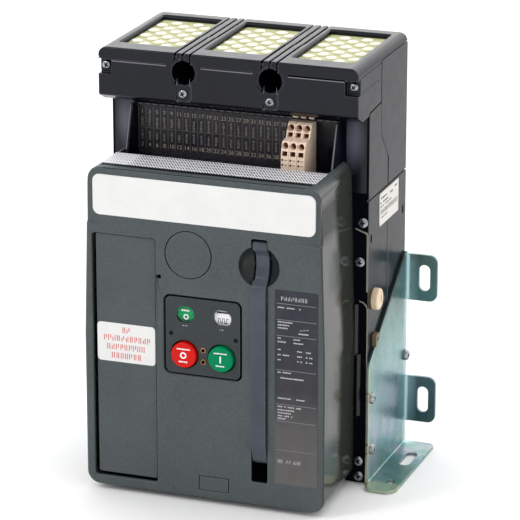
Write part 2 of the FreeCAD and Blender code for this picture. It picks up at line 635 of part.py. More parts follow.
def wiring_block():
    """Stepped three-way terminal block with two levels of wire entries."""
    x0, width = WIRING_BLOCK_X
    outline = [(98.4, 247), (125.8, 247), (125.8, 271), (124, 278.4), (122, 280.4), (114.6, 281),
               (109.4, 291), (107.4, 292.4), (98.4, 292.4)]
    levels = ((110.5, 288.2, 283.4), (124.5, 277.2, 272.2))
    ways = []
    for index in range(3):
        x = x0 + (index + 0.5) * width
        way = side_prism(outline, x0 + index * width, x0 + (index + 1) * width - 0.15)
        cuts = []
        for depth, round_z, square_z in levels:
            cuts.append(rod_y(depth - 8, depth + 6, x, round_z, 2.2))
            cuts.append(block(x - 1.9, x + 1.9, depth - 6, depth + 6, square_z - 1.7, square_z + 1.7))
        ways.append(way.cut(cuts))
    return ways


# ---- brackets and fasteners ---------------------------------------------------------------------
def mounting_bracket(side):
    """Bent steel bracket: side plate, two rear tabs and one foot, all with slots."""
    face, outer = HALF, HALF + BRACKET_T
    plate = [(0, 0), (BRACKET_FRONT, 0), (BRACKET_FRONT - 0.7, 96), (BRACKET_FRONT - 3, 101.5),
             (8, BRACKET_TOP - 2), (0, BRACKET_TOP)]
    body = side_prism(plate, face, outer)
    tabs = []
    for centre in TAB_SLOT_Z:
        low, high = centre - TAB_HALF_HEIGHT, centre + TAB_HALF_HEIGHT
        tab = rounded_plate(outer - 8, TAB_REACH, 0, BRACKET_T, low, high, 6)
        tabs.append(tab.common(block(face, TAB_REACH, -1, 5, 0, 200)))
    foot_front = FOOT_FRONT[side]
    foot = block(face, TAB_REACH, 1, foot_front, 0, BRACKET_T)
    corners = [e for e in foot.Edges if e.CenterOfMass.x > TAB_REACH - 1 and e.BoundBox.ZLength > 1]
    foot = foot.makeFillet(7.0, corners)
    if foot_front > BRACKET_FRONT:
        foot = foot.cut(block(face - 1, outer, BRACKET_FRONT, foot_front + 1, -1, BRACKET_T + 1))
    body = body.fuse(tabs + [foot]).removeSplitter()
    cuts = [slot_y(TAB_SLOT_X, z, TAB_SLOT_LENGTH, SLOT_R, -1, 5) for z in TAB_SLOT_Z]
    half = FOOT_SLOT_LENGTH / 2.0 - SLOT_R
    cuts.append(block(TAB_SLOT_X - SLOT_R, TAB_SLOT_X + SLOT_R, FOOT_SLOT_DEPTH - half,
                      FOOT_SLOT_DEPTH + half, -1, 5))
    for depth in (FOOT_SLOT_DEPTH - half, FOOT_SLOT_DEPTH + half):
        cuts.append(Part.makeCylinder(SLOT_R, 6, at(TAB_SLOT_X, depth, -1)))
    if foot_front > FOOT_HOLE_DEPTH:
        cuts.append(Part.makeCylinder(FOOT_HOLE_R, 6, at(TAB_SLOT_X + 1.5, FOOT_HOLE_DEPTH, -1)))
    body = body.cut(cuts)
    if side < 0:
        body = body.mirror(FreeCAD.Vector(0, 0, 0), FreeCAD.Vector(1, 0, 0))
    return body


def bracket_screws():
    face = HALF + BRACKET_T
    return [pan_head_x(side, face, depth, z) for side in (-1, 1) for depth, z in BRACKET_SCREWS]


def flange_screws():
    return [pan_head_y(side * x, z, FLANGE_DEPTH, r=3.4) for side in (-1, 1) for x, z in FLANGE_SCREWS]


def chute_screws():
    return [pan_head_y(x, z, CHUTE_FRONT_DEPTH, r=3.8) for x, z in CHUTE_SCREWS]


def shaft_caps():
    """Bearing caps over the pole shaft's ends, with a smaller peg below each."""
    caps = []
    for side in (-1, 1):
        direction = FreeCAD.Vector(side, 0, 0)
        depth, z = POLE_SHAFT
        cap = Part.makeCylinder(CAP_R, CAP_HEIGHT, at(side * HALF, depth, z), direction)
        floor = HALF + CAP_HEIGHT - 2
        x0, x1 = sorted((side * floor, side * (floor + 3)))
        caps.append(cap.cut(block(x0, x1, depth - 6, depth + 6, z - 1, z + 1)))
        caps.append(Part.makeCylinder(PEG[2], 3.0, at(side * HALF, PEG[0], PEG[1]), direction))
    return caps


def side_label():
    return block(HALF, HALF + LABEL_T, *SIDE_LABEL)


# ---- assembly -----------------------------------------------------------------------------------
def main():
    os.makedirs("parts", exist_ok=True)
    save("rear_housing", rear_housing())
    save("front_housing", front_housing())
    split_left = -TOOL_HOLE_X - CHUTE_SPLIT_OFFSET
    split_right = TOOL_HOLE_X - CHUTE_SPLIT_OFFSET
    save("arc_chute_left", arc_chute(-HALF - SEAM, split_left, POLES["left"], None, -TOOL_HOLE_X))
    save("arc_chute_centre", arc_chute(split_left, split_right, 0.0, -TOOL_HOLE_X, TOOL_HOLE_X))
    save("arc_chute_right", arc_chute(split_right, HALF + SEAM, POLES["right"], TOOL_HOLE_X, None))
    for name, x in POLES.items():
        save("vent_screen_" + name, vent_screen(x))
        save("splitter_plates_" + name, splitter_plates(x))
        save("upper_terminal_" + name, upper_terminal(x))
        save("lower_terminal_" + name, lower_terminal(x))
        save("moving_contact_" + name, moving_contact(x))
    save("contact_pivot_pins", contact_pivot_pins())
    save("pole_shaft", pole_shaft())
    save("mechanism_plate_left", mechanism_plate(-1))
    save("mechanism_plate_right", mechanism_plate(1))
    save("spacer_rods", spacer_rods())
    save("cam_shaft", cam_shaft())
    save("closing_cam", closing_cam())
    save("ratchet_wheel", ratchet_wheel())
    spring_depth = SPACERS[0][0]
    save("closing_spring", coil(-15, spring_depth, 66, 184, 9.5, 1.5, 13))
    save("opening_spring", coil(15, spring_depth, 66, 184, 7.5, 1.1, 18))
    save("trip_shaft", latch_shaft(TRIP_SHAFT, -BUTTON_X, True))
    save("close_shaft", latch_shaft(CLOSE_SHAFT, BUTTON_X, False))
    save("flag_rod", flag_rod())
    save("contact_flag", indicator_flag(-BUTTON_X))
    save("charge_flag", indicator_flag(BUTTON_X))
    save("off_button", push_button(-BUTTON_X))
    save("on_button", push_button(BUTTON_X))
    save("charging_handle", charging_handle())
    save("front_cover", front_cover())
    save("blanking_panel", blanking_panel())
    save("button_panel", button_panel())
    save("indicator_lenses", indicator_lenses())
    save("panel_screws", panel_screws())
    save("panel_sockets", panel_sockets())
    save("lock_plug", lock_plug())
    save("counter_blank", counter_blank())
    save("front_label_plate", front_label_plate())
    save("rating_plate", rating_plate())
    save("caution_label", caution_label())
    save("terminal_label", terminal_label())
    save("terminal_carrier", terminal_carrier())
    save("wiring_block", wiring_block())
    save("bracket_left", mounting_bracket(-1))
    save("bracket_right", mounting_bracket(1))
    save("bracket_screws", bracket_screws())
    save("flange_screws", flange_screws())
    save("chute_screws", chute_screws())
    save("shaft_caps", shaft_caps())
    save("side_label", side_label())


main()
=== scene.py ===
import math
import random

import bmesh
import bpy
from mathutils import Matrix, Vector


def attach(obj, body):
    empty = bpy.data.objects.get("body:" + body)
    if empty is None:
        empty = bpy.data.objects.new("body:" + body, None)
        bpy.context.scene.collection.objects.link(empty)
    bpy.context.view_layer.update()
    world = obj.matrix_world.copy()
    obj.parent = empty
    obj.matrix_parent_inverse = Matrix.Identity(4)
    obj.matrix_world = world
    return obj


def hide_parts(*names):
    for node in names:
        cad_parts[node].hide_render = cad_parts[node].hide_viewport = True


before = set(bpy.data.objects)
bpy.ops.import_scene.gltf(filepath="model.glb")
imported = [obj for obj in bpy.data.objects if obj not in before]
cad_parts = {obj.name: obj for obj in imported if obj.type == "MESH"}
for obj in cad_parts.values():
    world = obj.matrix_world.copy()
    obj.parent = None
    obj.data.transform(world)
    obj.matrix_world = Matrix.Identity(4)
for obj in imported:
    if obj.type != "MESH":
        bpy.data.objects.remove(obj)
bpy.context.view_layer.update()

# Three-pole air circuit breaker, fixed mounting. Lengths in this script are millimetres and become
# metres in at(). "depth" is the distance forward of the rear mounting plane.

MM = 0.001
REAR_Y = 89.0
BODY = "breaker_body"
SIDES = (-1, 1)
POLES = (-70.0, 0.0, 70.0)

# Housings and arc chutes
HALF = 105.0
REAR_DEPTH = 47.0
CHUTE_SEAM_DEPTH = 65.0
FLANGE_DEPTH = 94.0
CHUTE_FRONT = 121.5
SHOULDER_LOW = 254.0
SHOULDER_HIGH = 277.0
CAP_SEAM = 334.5
TOP = 341.0
LOWER_SEAM = 231.0
TOOL_X = 35.0
TOOL_Z = 326.0
VENT_NEAR, VENT_FAR, VENT_HALF = 11.0, 102.0, 24.0
POLE_AXIS = (78.2, 148.0)

# Front cover and what sits in it
COVER_FRONT = 175.0
COVER_TOP = 262.0
SCALLOP = (45.3, 196.5)
SCALLOP_R = 16.5
PLUG = (-11.5, 199.7)
BUTTONS = (-15.0, 15.0)
BUTTON_Z = 120.0
BUTTON_BORE_R = 11.35
WINDOWS = (-14.5, 15.5)
WINDOW_Z = 152.0
SOCKET_X, SOCKET_Z = 0.2, (115.6, 124.8)
PANEL_SCREWS = ((-26.0, 136.0), (26.5, 135.8))
SCREW_SEAT = 172.6
FLAG_AXIS = (158.0, 152.0)
FLAG_R = 14.0
CAM_AXIS = (150.0, 60.0)
HANDLE_X = 45.6

# Wiring terminals
TERMINAL_HALF = 84.0
TERMINAL_FRONT = 134.0
WAYS = [-78.5 + 6.1 * way for way in range(27)]

# Mounting brackets
PLATE = 2.5
PLATE_OUT = HALF + PLATE
TAB_REACH = 133.0
TAB_CENTRES = (39.9, 142.6)
SLOT_X = (118.0, 127.0)
FOOT_FRONT = {1: 110.4, -1: 86.0}


# ---- mesh helpers -------------------------------------------------------------------------------
def at(x, depth, z):
    return Vector((x, REAR_Y - depth, z)) * MM


def both(side, a, b):
    """The stretch from a to b out from the middle, on the side given by 1 or -1."""
    return sorted((side * a, side * b))


def add_object(name, data):
    obj = bpy.data.objects.new(name, data)
    bpy.context.scene.collection.objects.link(obj)
    return obj


def make_object(name, verts, faces):
    mesh = bpy.data.meshes.new(name)
    mesh.from_pydata([tuple(v) for v in verts], [], faces)
    bm = bmesh.new()
    bm.from_mesh(mesh)
    bmesh.ops.remove_doubles(bm, verts=bm.verts, dist=1e-7)
    bmesh.ops.recalc_face_normals(bm, faces=bm.faces)
    bm.to_mesh(mesh)
    bm.free()
    return add_object(name, mesh)


def loft(name, rings):
    """Closed solid through rings that all have the same number of points."""
    count = len(rings[0])
    verts = [v for ring in rings for v in ring]
    last = len(verts) - count
    faces = [list(range(count)), [last + i for i in range(count)]]
    for r in range(len(rings) - 1):
        for i in range(count):
            j = (i + 1) % count
            faces.append((r * count + i, r * count + j, (r + 1) * count + j, (r + 1) * count + i))
    return make_object(name, verts, faces)


def rounded(points, radii, steps=6):
    """Polygon with rounded corners; radii is one number or one for each corner."""
    if not isinstance(radii, (list, tuple)):
        radii = [radii] * len(points)
    result = []
    for i, r in enumerate(radii):
        p = Vector(points[i])
        a = Vector(points[i - 1]) - p
        b = Vector(points[(i + 1) % len(points)]) - p
        if r <= 0:
            result.append(tuple(p))
            continue
        half = a.angle(b) / 2
        reach = min(r / math.tan(half), a.length * 0.499, b.length * 0.499)
        r = reach * math.tan(half)
        centre = p + (a.normalized() + b.normalized()).normalized() * (r / math.sin(half))
        start = p + a.normalized() * reach - centre
        finish = p + b.normalized() * reach - centre
        first = math.atan2(start.y, start.x)
        turn = math.atan2(finish.y, finish.x) - first
        turn = (turn + math.pi) % (2 * math.pi) - math.pi
        for k in range(steps + 1):
            angle = first + turn * k / steps
            result.append((centre.x + r * math.cos(angle), centre.y + r * math.sin(angle)))
    return result


def rect(a0, a1, b0, b1, r=0.0, steps=5):
    return rounded([(a0, b0), (a1, b0), (a1, b1), (a0, b1)], r, steps)


def circle(a, b, r, count=48):
    angles = [2 * math.pi * k / count for k in range(count)]
    return [(a + r * math.cos(t), b + r * math.sin(t)) for t in angles]


def arc(centre, r, first, last, steps):
    """Points of an arc between two angles in degrees."""
    angles = [math.radians(first + (last - first) * k / steps) for k in range(steps + 1)]
    return [(centre[0] + r * math.cos(a), centre[1] + r * math.sin(a)) for a in angles]


def prism_y(name, outline, d0, d1):
    return loft(name, [[at(x, d, z) for x, z in outline] for d in (d0, d1)])


def prism_x(name, outline, x0, x1):
    return loft(name, [[at(x, d, z) for d, z in outline] for x in (x0, x1)])


def prism_z(name, outline, z0, z1):
    return loft(name, [[at(x, d, z) for x, d in outline] for z in (z0, z1)])


def box(name, x0, x1, d0, d1, z0, z1):
    return prism_y(name, rect(x0, x1, z0, z1), d0, d1)


def rod_x(name, centre, r, x0, x1, count=48):
    return prism_x(name, circle(centre[0], centre[1], r, count), x0, x1)


def rod_y(name, x, z, r, d0, d1, count=48):
    return prism_y(name, circle(x, z, r, count), d0, d1)


def turned_y(name, x, z, profile, count=48):
    """Solid of revolution about an axis along the depth; profile is (radius, depth) pairs."""
    return loft(name, [[at(a, d, b) for a, b in circle(x, z, r, count)] for r, d in profile])


def turned_x(name, centre, profile, count=40):
    """Solid of revolution about an axis along X; profile is (radius, x) pairs."""
    return loft(name, [[at(x, a, b) for a, b in circle(centre[0], centre[1], r, count)]
                       for r, x in profile])


def evaluated(obj):
    return bpy.data.meshes.new_from_object(obj.evaluated_get(bpy.context.evaluated_depsgraph_get()))


def evaluate(obj):
    mesh = evaluated(obj)
    obj.modifiers.clear()
    obj.data = mesh


def combine(target, tools, operation="DIFFERENCE"):
    """Exact boolean with one or more tool objects, which are used up."""
    group = bpy.data.collections.new("tools")
    bpy.context.scene.collection.children.link(group)
    for tool in tools:
        group.objects.link(tool)
    modifier = target.modifiers.new("combine", "BOOLEAN")
    modifier.operation = operation
    modifier.solver = "EXACT"
    modifier.operand_type = "COLLECTION"
    modifier.collection = group
    evaluate(target)
    for tool in tools:
        bpy.data.objects.remove(tool)
    bpy.data.collections.remove(group)
    return target


def join(name, parts):
    """One object out of several separate solids."""
    bm = bmesh.new()
    for part in parts:
        bm.from_mesh(part.data)
        bpy.data.objects.remove(part)
    mesh = bpy.data.meshes.new(name)
    bm.to_mesh(mesh)
    bm.free()
    return add_object(name, mesh)


def soften(obj, width=0.4, segments=2, angle=32):
    """Rounds the sharp edges a little and smooths the shading."""
    if width > 0:
        columns = list(zip(*[vertex.co for vertex in obj.data.vertices]))
        low, high = [min(c) for c in columns], [max(c) for c in columns]
        modifier = obj.modifiers.new("edges", "BEVEL")
        modifier.width = width * MM
        modifier.segments = segments
        modifier.limit_method = "ANGLE"
        modifier.angle_limit = math.radians(angle)
        modifier.use_clamp_overlap = False
        modifier.miter_outer = "MITER_ARC"
        evaluate(obj)
        for vertex in obj.data.vertices:
            vertex.co = [min(max(c, a), b) for c, a, b in zip(vertex.co, low, high)]
    obj.data.shade_smooth()
    obj.data.set_sharp_from_angle(angle=math.radians(38))
    modifier = obj.modifiers.new("normals", "WEIGHTED_NORMAL")
    modifier.keep_sharp = True
    modifier.weight = 60
    evaluate(obj)
    return obj


def dress(obj, material, slot, body=BODY, nodes=(), soft=None):
    """Finish and body of one piece, and the CAD nodes that it stands for; slot is not used."""
    if soft is not None:
        soften(obj, soft)
    obj.data.materials.clear()
    obj.data.materials.append(material)
    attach(obj, body)
    if nodes:
        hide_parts(*nodes)
    return obj


# ---- materials ----------------------------------------------------------------------------------
def rgb(r, g, b):
    """Linear colour of 8-bit display values."""
    def linear(c):
        c = c / 255.0
        return c / 12.92 if c <= 0.04045 else ((c + 0.055) / 1.055) ** 2.4
    return (linear(r), linear(g), linear(b), 1.0)


class Nodes:
    """A material's or world's node tree with short calls for the nodes used here."""

    def __init__(self, name, kind=bpy.data.materials):
        self.owner = kind.new(name)
        self.owner.use_nodes = True
        self.tree = self.owner.node_tree
        self.shader = self.tree.nodes.get("Principled BSDF")
        self.place = self.add("TexCoord").outputs["Object"]

    def feed(self, socket, value):
        """Links the socket to another one, or sets its plain value."""
        if isinstance(value, bpy.types.NodeSocket):
            self.tree.links.new(value, socket)
        else:
            socket.default_value = value

    def add(self, kind, inputs=(), **settings):
        node = self.tree.nodes.new("ShaderNode" + kind)
        for key, value in settings.items():
            setattr(node, key, value)
        for key, value in dict(inputs).items():
            self.feed(node.inputs[key], value)
        return node

    def mapped(self, scale=(1, 1, 1), rotation=(0, 0, 0)):
        return self.add("Mapping", {"Vector": self.place, "Scale": scale,
                                    "Rotation": rotation}).outputs["Vector"]

    def noise(self, scale, detail=3.0, rough=0.55, stretch=None):
        place = self.mapped(stretch) if stretch else self.place
        return self.add("TexNoise", {"Vector": place, "Scale": scale, "Detail": detail,
                                     "Roughness": rough}).outputs["Fac"]

    def ramp(self, source, stops):
        node = self.add("ValToRGB", {"Fac": source})
        elements = node.color_ramp.elements
        while len(elements) < len(stops):
            elements.new(0.5)
        for element, (place, colour) in zip(elements, stops):
            element.position = place
            element.color = colour
        return node.outputs["Color"]

    def shades(self, source, dark, light, low=0.3):
        """Blend of two 8-bit colours."""
        return self.ramp(source, [(low, rgb(*dark)), (1 - low, rgb(*light))])

    def mask(self, source, low, high):
        return self.ramp(source, [(low, (0, 0, 0, 1)), (high, (1, 1, 1, 1))])

    def span(self, source, low, high, out_low=0.0, out_high=1.0):
        return self.add("MapRange", {"Value": source, "From Min": low, "From Max": high,
                                     "To Min": out_low, "To Max": out_high}).outputs["Result"]

    def uneven(self, low, high, scale, detail=3.0):
        """Wanders softly between two values over the surface."""
        return self.span(self.noise(scale, detail), 0.3, 0.7, low, high)

    def mix(self, fac, a, b):
        return self.add("Mix", {0: fac, 6: a, 7: b}, data_type="RGBA").outputs[2]

    def maths(self, operation, a, b=0.5):
        return self.add("Math", {0: a, 1: b}, operation=operation).outputs[0]

    def times(self, value, *factors):
        for factor in factors:
            value = self.maths("MULTIPLY", value, factor)
        return value

    def plus(self, a, b):
        return self.maths("ADD", a, b)

    def minus(self, a, b):
        return self.maths("SUBTRACT", a, b)

    def coordinate(self, letter, source=None):
        """One coordinate, in metres in the part's own frame unless another source is given."""
        return self.add("SeparateXYZ", {0: self.place if source is None else source}).outputs[letter]

    def axis(self, letter, low, high):
        """0 to 1 between two places in millimetres along one axis."""
        return self.span(self.coordinate(letter), low * MM, high * MM)

    def outward(self):
        """Distance from the middle, left or right, in metres."""
        return self.maths("ABSOLUTE", self.coordinate("X"))

    def sideways(self, out_low, out_high):
        """Goes from out_low to out_high on the surfaces that face left or right."""
        normal = self.add("NewGeometry").outputs["True Normal"]
        return self.span(self.maths("ABSOLUTE", self.coordinate("X", normal)), 0.6, 0.9, out_low, out_high)

    def bump(self, height, strength, distance=0.0002):
        node = self.add("Bump", {"Height": height, "Strength": strength, "Distance": distance})
        self.feed(self.shader.inputs["Normal"], node.outputs["Normal"])
        return node

    def edge_wear_and_highlight(self, colour, lighter, amount=0.5, radius=0.0006):
        """Lightens the edges of a piece: partly wear, partly a painted highlight along the edges."""
        bevel = self.add("Bevel", {"Radius": radius}, samples=4).outputs["Normal"]
        normal = self.add("NewGeometry").outputs["Normal"]
        dot = self.add("VectorMath", {0: bevel, 1: normal}, operation="DOT_PRODUCT")
        return self.mix(self.span(dot.outputs["Value"], 0.99, 0.75, 0.0, amount), colour, rgb(*lighter))

    def shade(self, colour=None, rough=None, ior=None, metallic=None):
        for name, value in (("Base Color", colour), ("Roughness", rough), ("IOR", ior),
                            ("Metallic", metallic)):
            if value is not None:
                self.feed(self.shader.inputs[name], value)


def plastic(name, dark, light, ior=1.3, rough=(0.38, 0.5), grain=0.25, grain_scale=2600.0,
            wear_and_highlight=None, blotch=38.0, side_ior=None, painted_reflection=None):
    """Moulded plastic: fine spark-eroded grain, faint mottling and uneven gloss; edges can be lightened,
    partly as wear and partly as painted highlight, and a painted reflection patch can be laid on.
    """
    n = Nodes(name)
    fine = n.noise(grain_scale, 2.0, 0.6)
    colour = n.shades(n.noise(blotch, 4.0, 0.6), dark, light)
    colour = n.mix(0.18, colour, n.shades(fine, dark, light, 0.35))
    # Edges lightened: partly wear, partly painted highlight.
    if wear_and_highlight:
        colour = n.edge_wear_and_highlight(colour, wear_and_highlight)
    # Painted reflection: a light patch mixed into the colour.
    if painted_reflection:
        colour = n.mix(painted_reflection_patch(n), colour, rgb(*painted_reflection))
    n.shade(colour, n.uneven(*rough, blotch * 2.3), ior)
    if side_ior:
        n.shade(ior=n.sideways(ior, side_ior))
    n.bump(fine, grain)
    return n.owner


def painted_reflection_patch(n):
    """Painted reflection: a soft upright light patch on the upper flange, between the cover and the chutes.
    """
    dx = n.maths("DIVIDE", n.minus(n.outward(), 91.0 * MM), 13.0 * MM)
    dz = n.maths("DIVIDE", n.minus(n.coordinate("Z"), 278.0 * MM), 30.0 * MM)
    glow = n.span(n.plus(n.times(dx, dx), n.times(dz, dz)), 0.0, 1.0, 1.0, 0.0)
    return n.times(glow, glow, 0.7)


def cover_plastic():
    """Grained grey plastic; the finger scoop is smooth and its darker colour is painted shade."""
    n = Nodes("cover_grey")
    colour = n.shades(n.noise(26.0, 4.0, 0.6), (65, 72, 73), (75, 82, 84))
    colour = n.mix(0.35, colour, n.shades(n.noise(820.0, 3.0, 0.7), (50, 57, 58), (92, 99, 100)))
    # Edges lightened: painted highlight along the edges, partly wear.
    colour = n.edge_wear_and_highlight(colour, (150, 158, 158), 0.8)
    # Painted shade: the finger scoop's colour is darkened to stand for its dark reflection.
    dx = n.minus(n.coordinate("X"), SCALLOP[0] * MM)
    dz = n.minus(n.coordinate("Z"), SCALLOP[1] * MM)
    radius = n.maths("SQRT", n.plus(n.times(dx, dx), n.times(dz, dz)), 0.0)
    front_y = REAR_Y - COVER_FRONT
    inside = n.span(radius, 16.2 * MM, 17.0 * MM, 1.0, 0.0)
    scoop = n.times(inside, n.axis("Y", front_y + 0.15, front_y + 0.6))
    colour = n.mix(scoop, colour, rgb(36, 42, 43))
    # Painted light: side faces are tinted darker and olive by the way they face, standing for their shade and
    # reflection.
    flank = n.sideways(0.0, 1.0)
    colour = n.mix(n.times(flank, 0.9), colour, rgb(44, 46, 40))
    rough = n.minus(n.uneven(0.38, 0.5, 60.0), n.times(scoop, 0.16))
    matt_band = n.times(n.axis("Z", 214.0, 224.0), n.axis("Z", 252.0, 244.0))
    gloss = n.times(flank, n.span(matt_band, 0.0, 1.0, -0.03, -0.22))
    n.shade(colour, n.minus(rough, n.times(flank, 0.34)), n.plus(gloss, 1.32))
    grain = n.bump(n.noise(1900.0, 2.0, 0.6), 0.4)
    n.feed(grain.inputs["Strength"], n.span(flank, 0.0, 1.0, 0.4, 0.06))
    return n.owner


def metal(name, dark, light, rough=(0.22, 0.4), stretch=(1, 1, 1), scale=220.0, grain=0.15):
    """Rolled or turned metal with a directional finish."""
    n = Nodes(name)
    streak = n.noise(scale, 4.0, 0.6, stretch)
    n.shade(n.shades(streak, dark, light), n.span(streak, 0.3, 0.7, *rough), metallic=1.0)
    n.bump(streak, grain, 0.0001)
    return n.owner


def zinc_bracket():
    """Bright zinc with the blue-green, yellow and pink tints of its passivation, plus painted highlights
    along the front edge, the bends and the edges, and painted shade on the upper edge face.
    """
    n = Nodes("bracket_zinc")
    cloudy = n.noise(18.0, 3.0, 0.6, (1.0, 1.8, 0.6))
    outward = n.outward()

    def beyond(low, high, out_low=0.0, out_high=1.0):
        return n.span(outward, low * MM, high * MM, out_low, out_high)

    def upwards(low, high, blur, tints):
        height = n.plus(n.axis("Z", low, high), n.span(cloudy, 0.3, 0.7, -blur, blur))
        return n.ramp(height, [(place, rgb(*tint)) for place, tint in tints])

    def tinted(amount, tint):
        return n.mix(amount, colour, rgb(*tint))

    colour = upwards(0.0, 165.0, 0.14, (
        (0.0, (108, 144, 138)), (0.1, (100, 146, 152)), (0.3, (126, 158, 166)),
        (0.5, (130, 168, 168)), (0.78, (94, 124, 120)), (1.0, (74, 106, 108))))
    pink = n.mask(n.noise(30.0, 4.0, 0.65, (1.0, 2.2, 1.1)), 0.5, 0.62)
    colour = tinted(n.times(pink, n.axis("Z", 110.0, 40.0), 0.4), (186, 160, 186))
    gold = n.mask(n.noise(26.0, 3.0, 0.6, (1.0, 1.6, 0.8)), 0.52, 0.66)
    colour = tinted(n.times(gold, 0.3), (180, 182, 142))
    # Yellowish band along the front edge: partly passivation tint, partly painted highlight.
    colour = tinted(n.times(n.axis("Y", -2.5, -8.0), 0.5), (200, 204, 164))
    tab = n.times(beyond(108.5, 118.0), n.axis("Y", 84.0, 86.0), 0.85)
    colour = n.mix(tab, colour, upwards(15.0, 165.0, 0.1, (
        (0.0, (96, 122, 126)), (0.3, (72, 100, 110)), (0.7, (92, 126, 130)), (1.0, (108, 136, 134)))))
    # Painted highlight: lighter tint along the bends where the tabs leave the plate.
    bend = n.times(beyond(109.5, 118.0, 1.0, 0.0), n.axis("Y", 80.0, 85.0), 0.85)
    colour = tinted(bend, (168, 198, 202))
    # Painted shade: the plate's upper thickness face is darkened.
    thick = n.times(n.sideways(1.0, 0.0), n.axis("Z", 99.0, 102.0), beyond(107.4, 107.9, 0.85, 0.0))
    # Edges lightened: painted highlight along the edges.
    colour = n.edge_wear_and_highlight(tinted(thick, (40, 48, 46)), (206, 214, 204), 0.7, 0.0005)
    n.shade(colour, n.uneven(0.26, 0.4, 160.0, 4.0), metallic=0.95)
    return n.owner


def label_white(name, tint):
    n = Nodes(name)
    n.shade(n.shades(n.noise(60.0), [c - 6 for c in tint], tint), n.uneven(0.3, 0.42, 800.0), 1.4)
    n.bump(n.noise(1500.0), 0.06)
    return n.owner


def hatched_label():
    """Pale strip printed with close slanting strokes in three rows."""
    n = Nodes("label_hatched")
    slant = n.mapped(rotation=(0, 0, math.radians(-32)))
    wave = n.add("TexWave", {"Vector": slant, "Scale": 158.0, "Distortion": 1.2, "Detail": 2.0,
                             "Detail Scale": 4.0}, wave_type="BANDS", bands_direction="X")
    rows = n.add("TexWave", {"Vector": n.place, "Scale": 48.0, "Distortion": 0.3},
                 wave_type="BANDS", bands_direction="Y")
    ink = n.times(n.span(wave.outputs["Fac"], 0.3, 0.7), n.span(rows.outputs["Fac"], 0.0, 0.5, 0.25, 1.0),
                  n.span(n.noise(300.0), 0.35, 0.55, 0.6, 1.0),
                  n.span(n.axis("X", -66.0, -62.0), 0.0, 1.0, 0.4, 1.0))
    n.shade(n.ramp(ink, [(0.0, rgb(228, 228, 232)), (0.8, rgb(22, 22, 30))]), n.uneven(0.35, 0.5, 500.0))
    n.bump(n.noise(1500.0), 0.05)
    return n.owner


def height_ramped(name, low, high, tints, mottling, rough, bump, ior=None):
    """Surface whose colour changes with height; mottling is (amount, noise, dark, light, low stop)."""
    n = Nodes(name)
    colour = n.ramp(n.axis("Z", low, high), [(place, rgb(*tint)) for place, tint in tints])
    amount, noise, *shades = mottling
    n.shade(n.mix(amount, colour, n.shades(n.noise(*noise), *shades)), n.uneven(*rough), ior)
    n.bump(n.noise(bump[0]), bump[1])
    return n.owner


def glass():
    """Thin clear window: mostly see-through with a faint shine."""
    n = Nodes("lens_clear")
    clear = n.add("BsdfTransparent").outputs[0]
    shine = n.add("BsdfGlossy", {"Roughness": n.uneven(0.03, 0.09, 700.0)}).outputs[0]
    mixer = n.add("MixShader", {0: 0.012, 1: clear, 2: shine})
    n.feed(n.tree.nodes["Material Output"].inputs["Surface"], mixer.outputs[0])
    n.tree.nodes.remove(n.shader)
    return n.owner


def ink(name, dark, light, ior=1.3):
    return plastic("ink_" + name, dark, light, ior, grain=0.02)


MOULDED = {"rough": (0.18, 0.28), "grain": 0.03, "grain_scale": 1500.0}
# Edge colours given to the materials below lighten their edges: partly wear, partly painted highlight.
WORN_AND_LIT = (160, 160, 168)
BLACK = plastic("moulding_black", (4, 6, 14), (11, 15, 27), 1.34, wear_and_highlight=WORN_AND_LIT, side_ior=1.2, **MOULDED)
FLANGE = plastic("moulding_flange", (4, 6, 12), (10, 13, 22), 1.12, wear_and_highlight=WORN_AND_LIT, side_ior=1.2, **MOULDED)
# Pillar plastic with a painted reflection patch.
PILLAR = plastic("moulding_painted_reflection", (4, 6, 14), (11, 15, 27), 1.34, painted_reflection=(112, 115, 130), **MOULDED)
RIB = plastic("moulding_rib", (16, 16, 15), (24, 24, 22), 1.42, (0.2, 0.3), 0.03)
# Painted highlight: pale strips along the flange edges.
RIM_HIGHLIGHT = plastic("painted_rim_highlight", (132, 130, 120), (158, 155, 142), 1.3, (0.3, 0.4), 0.03)
# Painted shade: near-black matt plastic for sheets set behind gaps and for recess floors, where there would
# be shadow.
SHADE_BLACK = plastic("painted_shade_black", (6, 6, 8), (14, 14, 16), 1.2, (0.5, 0.65))
GREY = cover_plastic()
# The edge colours of PANEL, HANDLE and TAN are partly wear, partly painted highlight.
PANEL = plastic("panel_grey", (42, 48, 50), (52, 58, 60), 1.33, (0.3, 0.4), 0.3, wear_and_highlight=(150, 156, 158))
HANDLE = plastic("handle_black", (54, 59, 68), (68, 74, 84), 1.38, (0.2, 0.3), 0.12, wear_and_highlight=(176, 182, 192))
RED = plastic("off_red", (190, 12, 4), (208, 20, 10), 1.25, (0.2, 0.3), 0.06)
GREEN = plastic("on_green", (0, 118, 76), (0, 132, 88), 1.16, (0.2, 0.3), 0.06)
FLAG_GREEN = plastic("flag_green", (0, 138, 78), (0, 154, 90), 1.1, grain=0.05)
FLAG_WHITE = plastic("flag_white", (226, 226, 228), (242, 242, 244), grain=0.05)
TAN = plastic("terminal_tan", (238, 208, 184), (250, 228, 208), 1.4, (0.35, 0.5), 0.12, wear_and_highlight=(250, 232, 214))
CAP = plastic("cap_tan", (208, 184, 154), (226, 204, 176), 1.4, (0.35, 0.5), 0.12)
PEG = plastic("peg_olive", (96, 84, 66), (124, 110, 90), 1.4, (0.35, 0.5), 0.12)
CORE = plastic("terminal_cavity", (56, 30, 14), (92, 54, 30), 1.3, (0.3, 0.4), 0.1)
PRINT = plastic("terminal_print", (30, 31, 42), (56, 54, 58), 1.34, (0.24, 0.4), 0.1, blotch=60.0)
DARK_SCREW = plastic("black_screw", (8, 9, 10), (16, 18, 20), 1.35, (0.24, 0.3), 0.1)
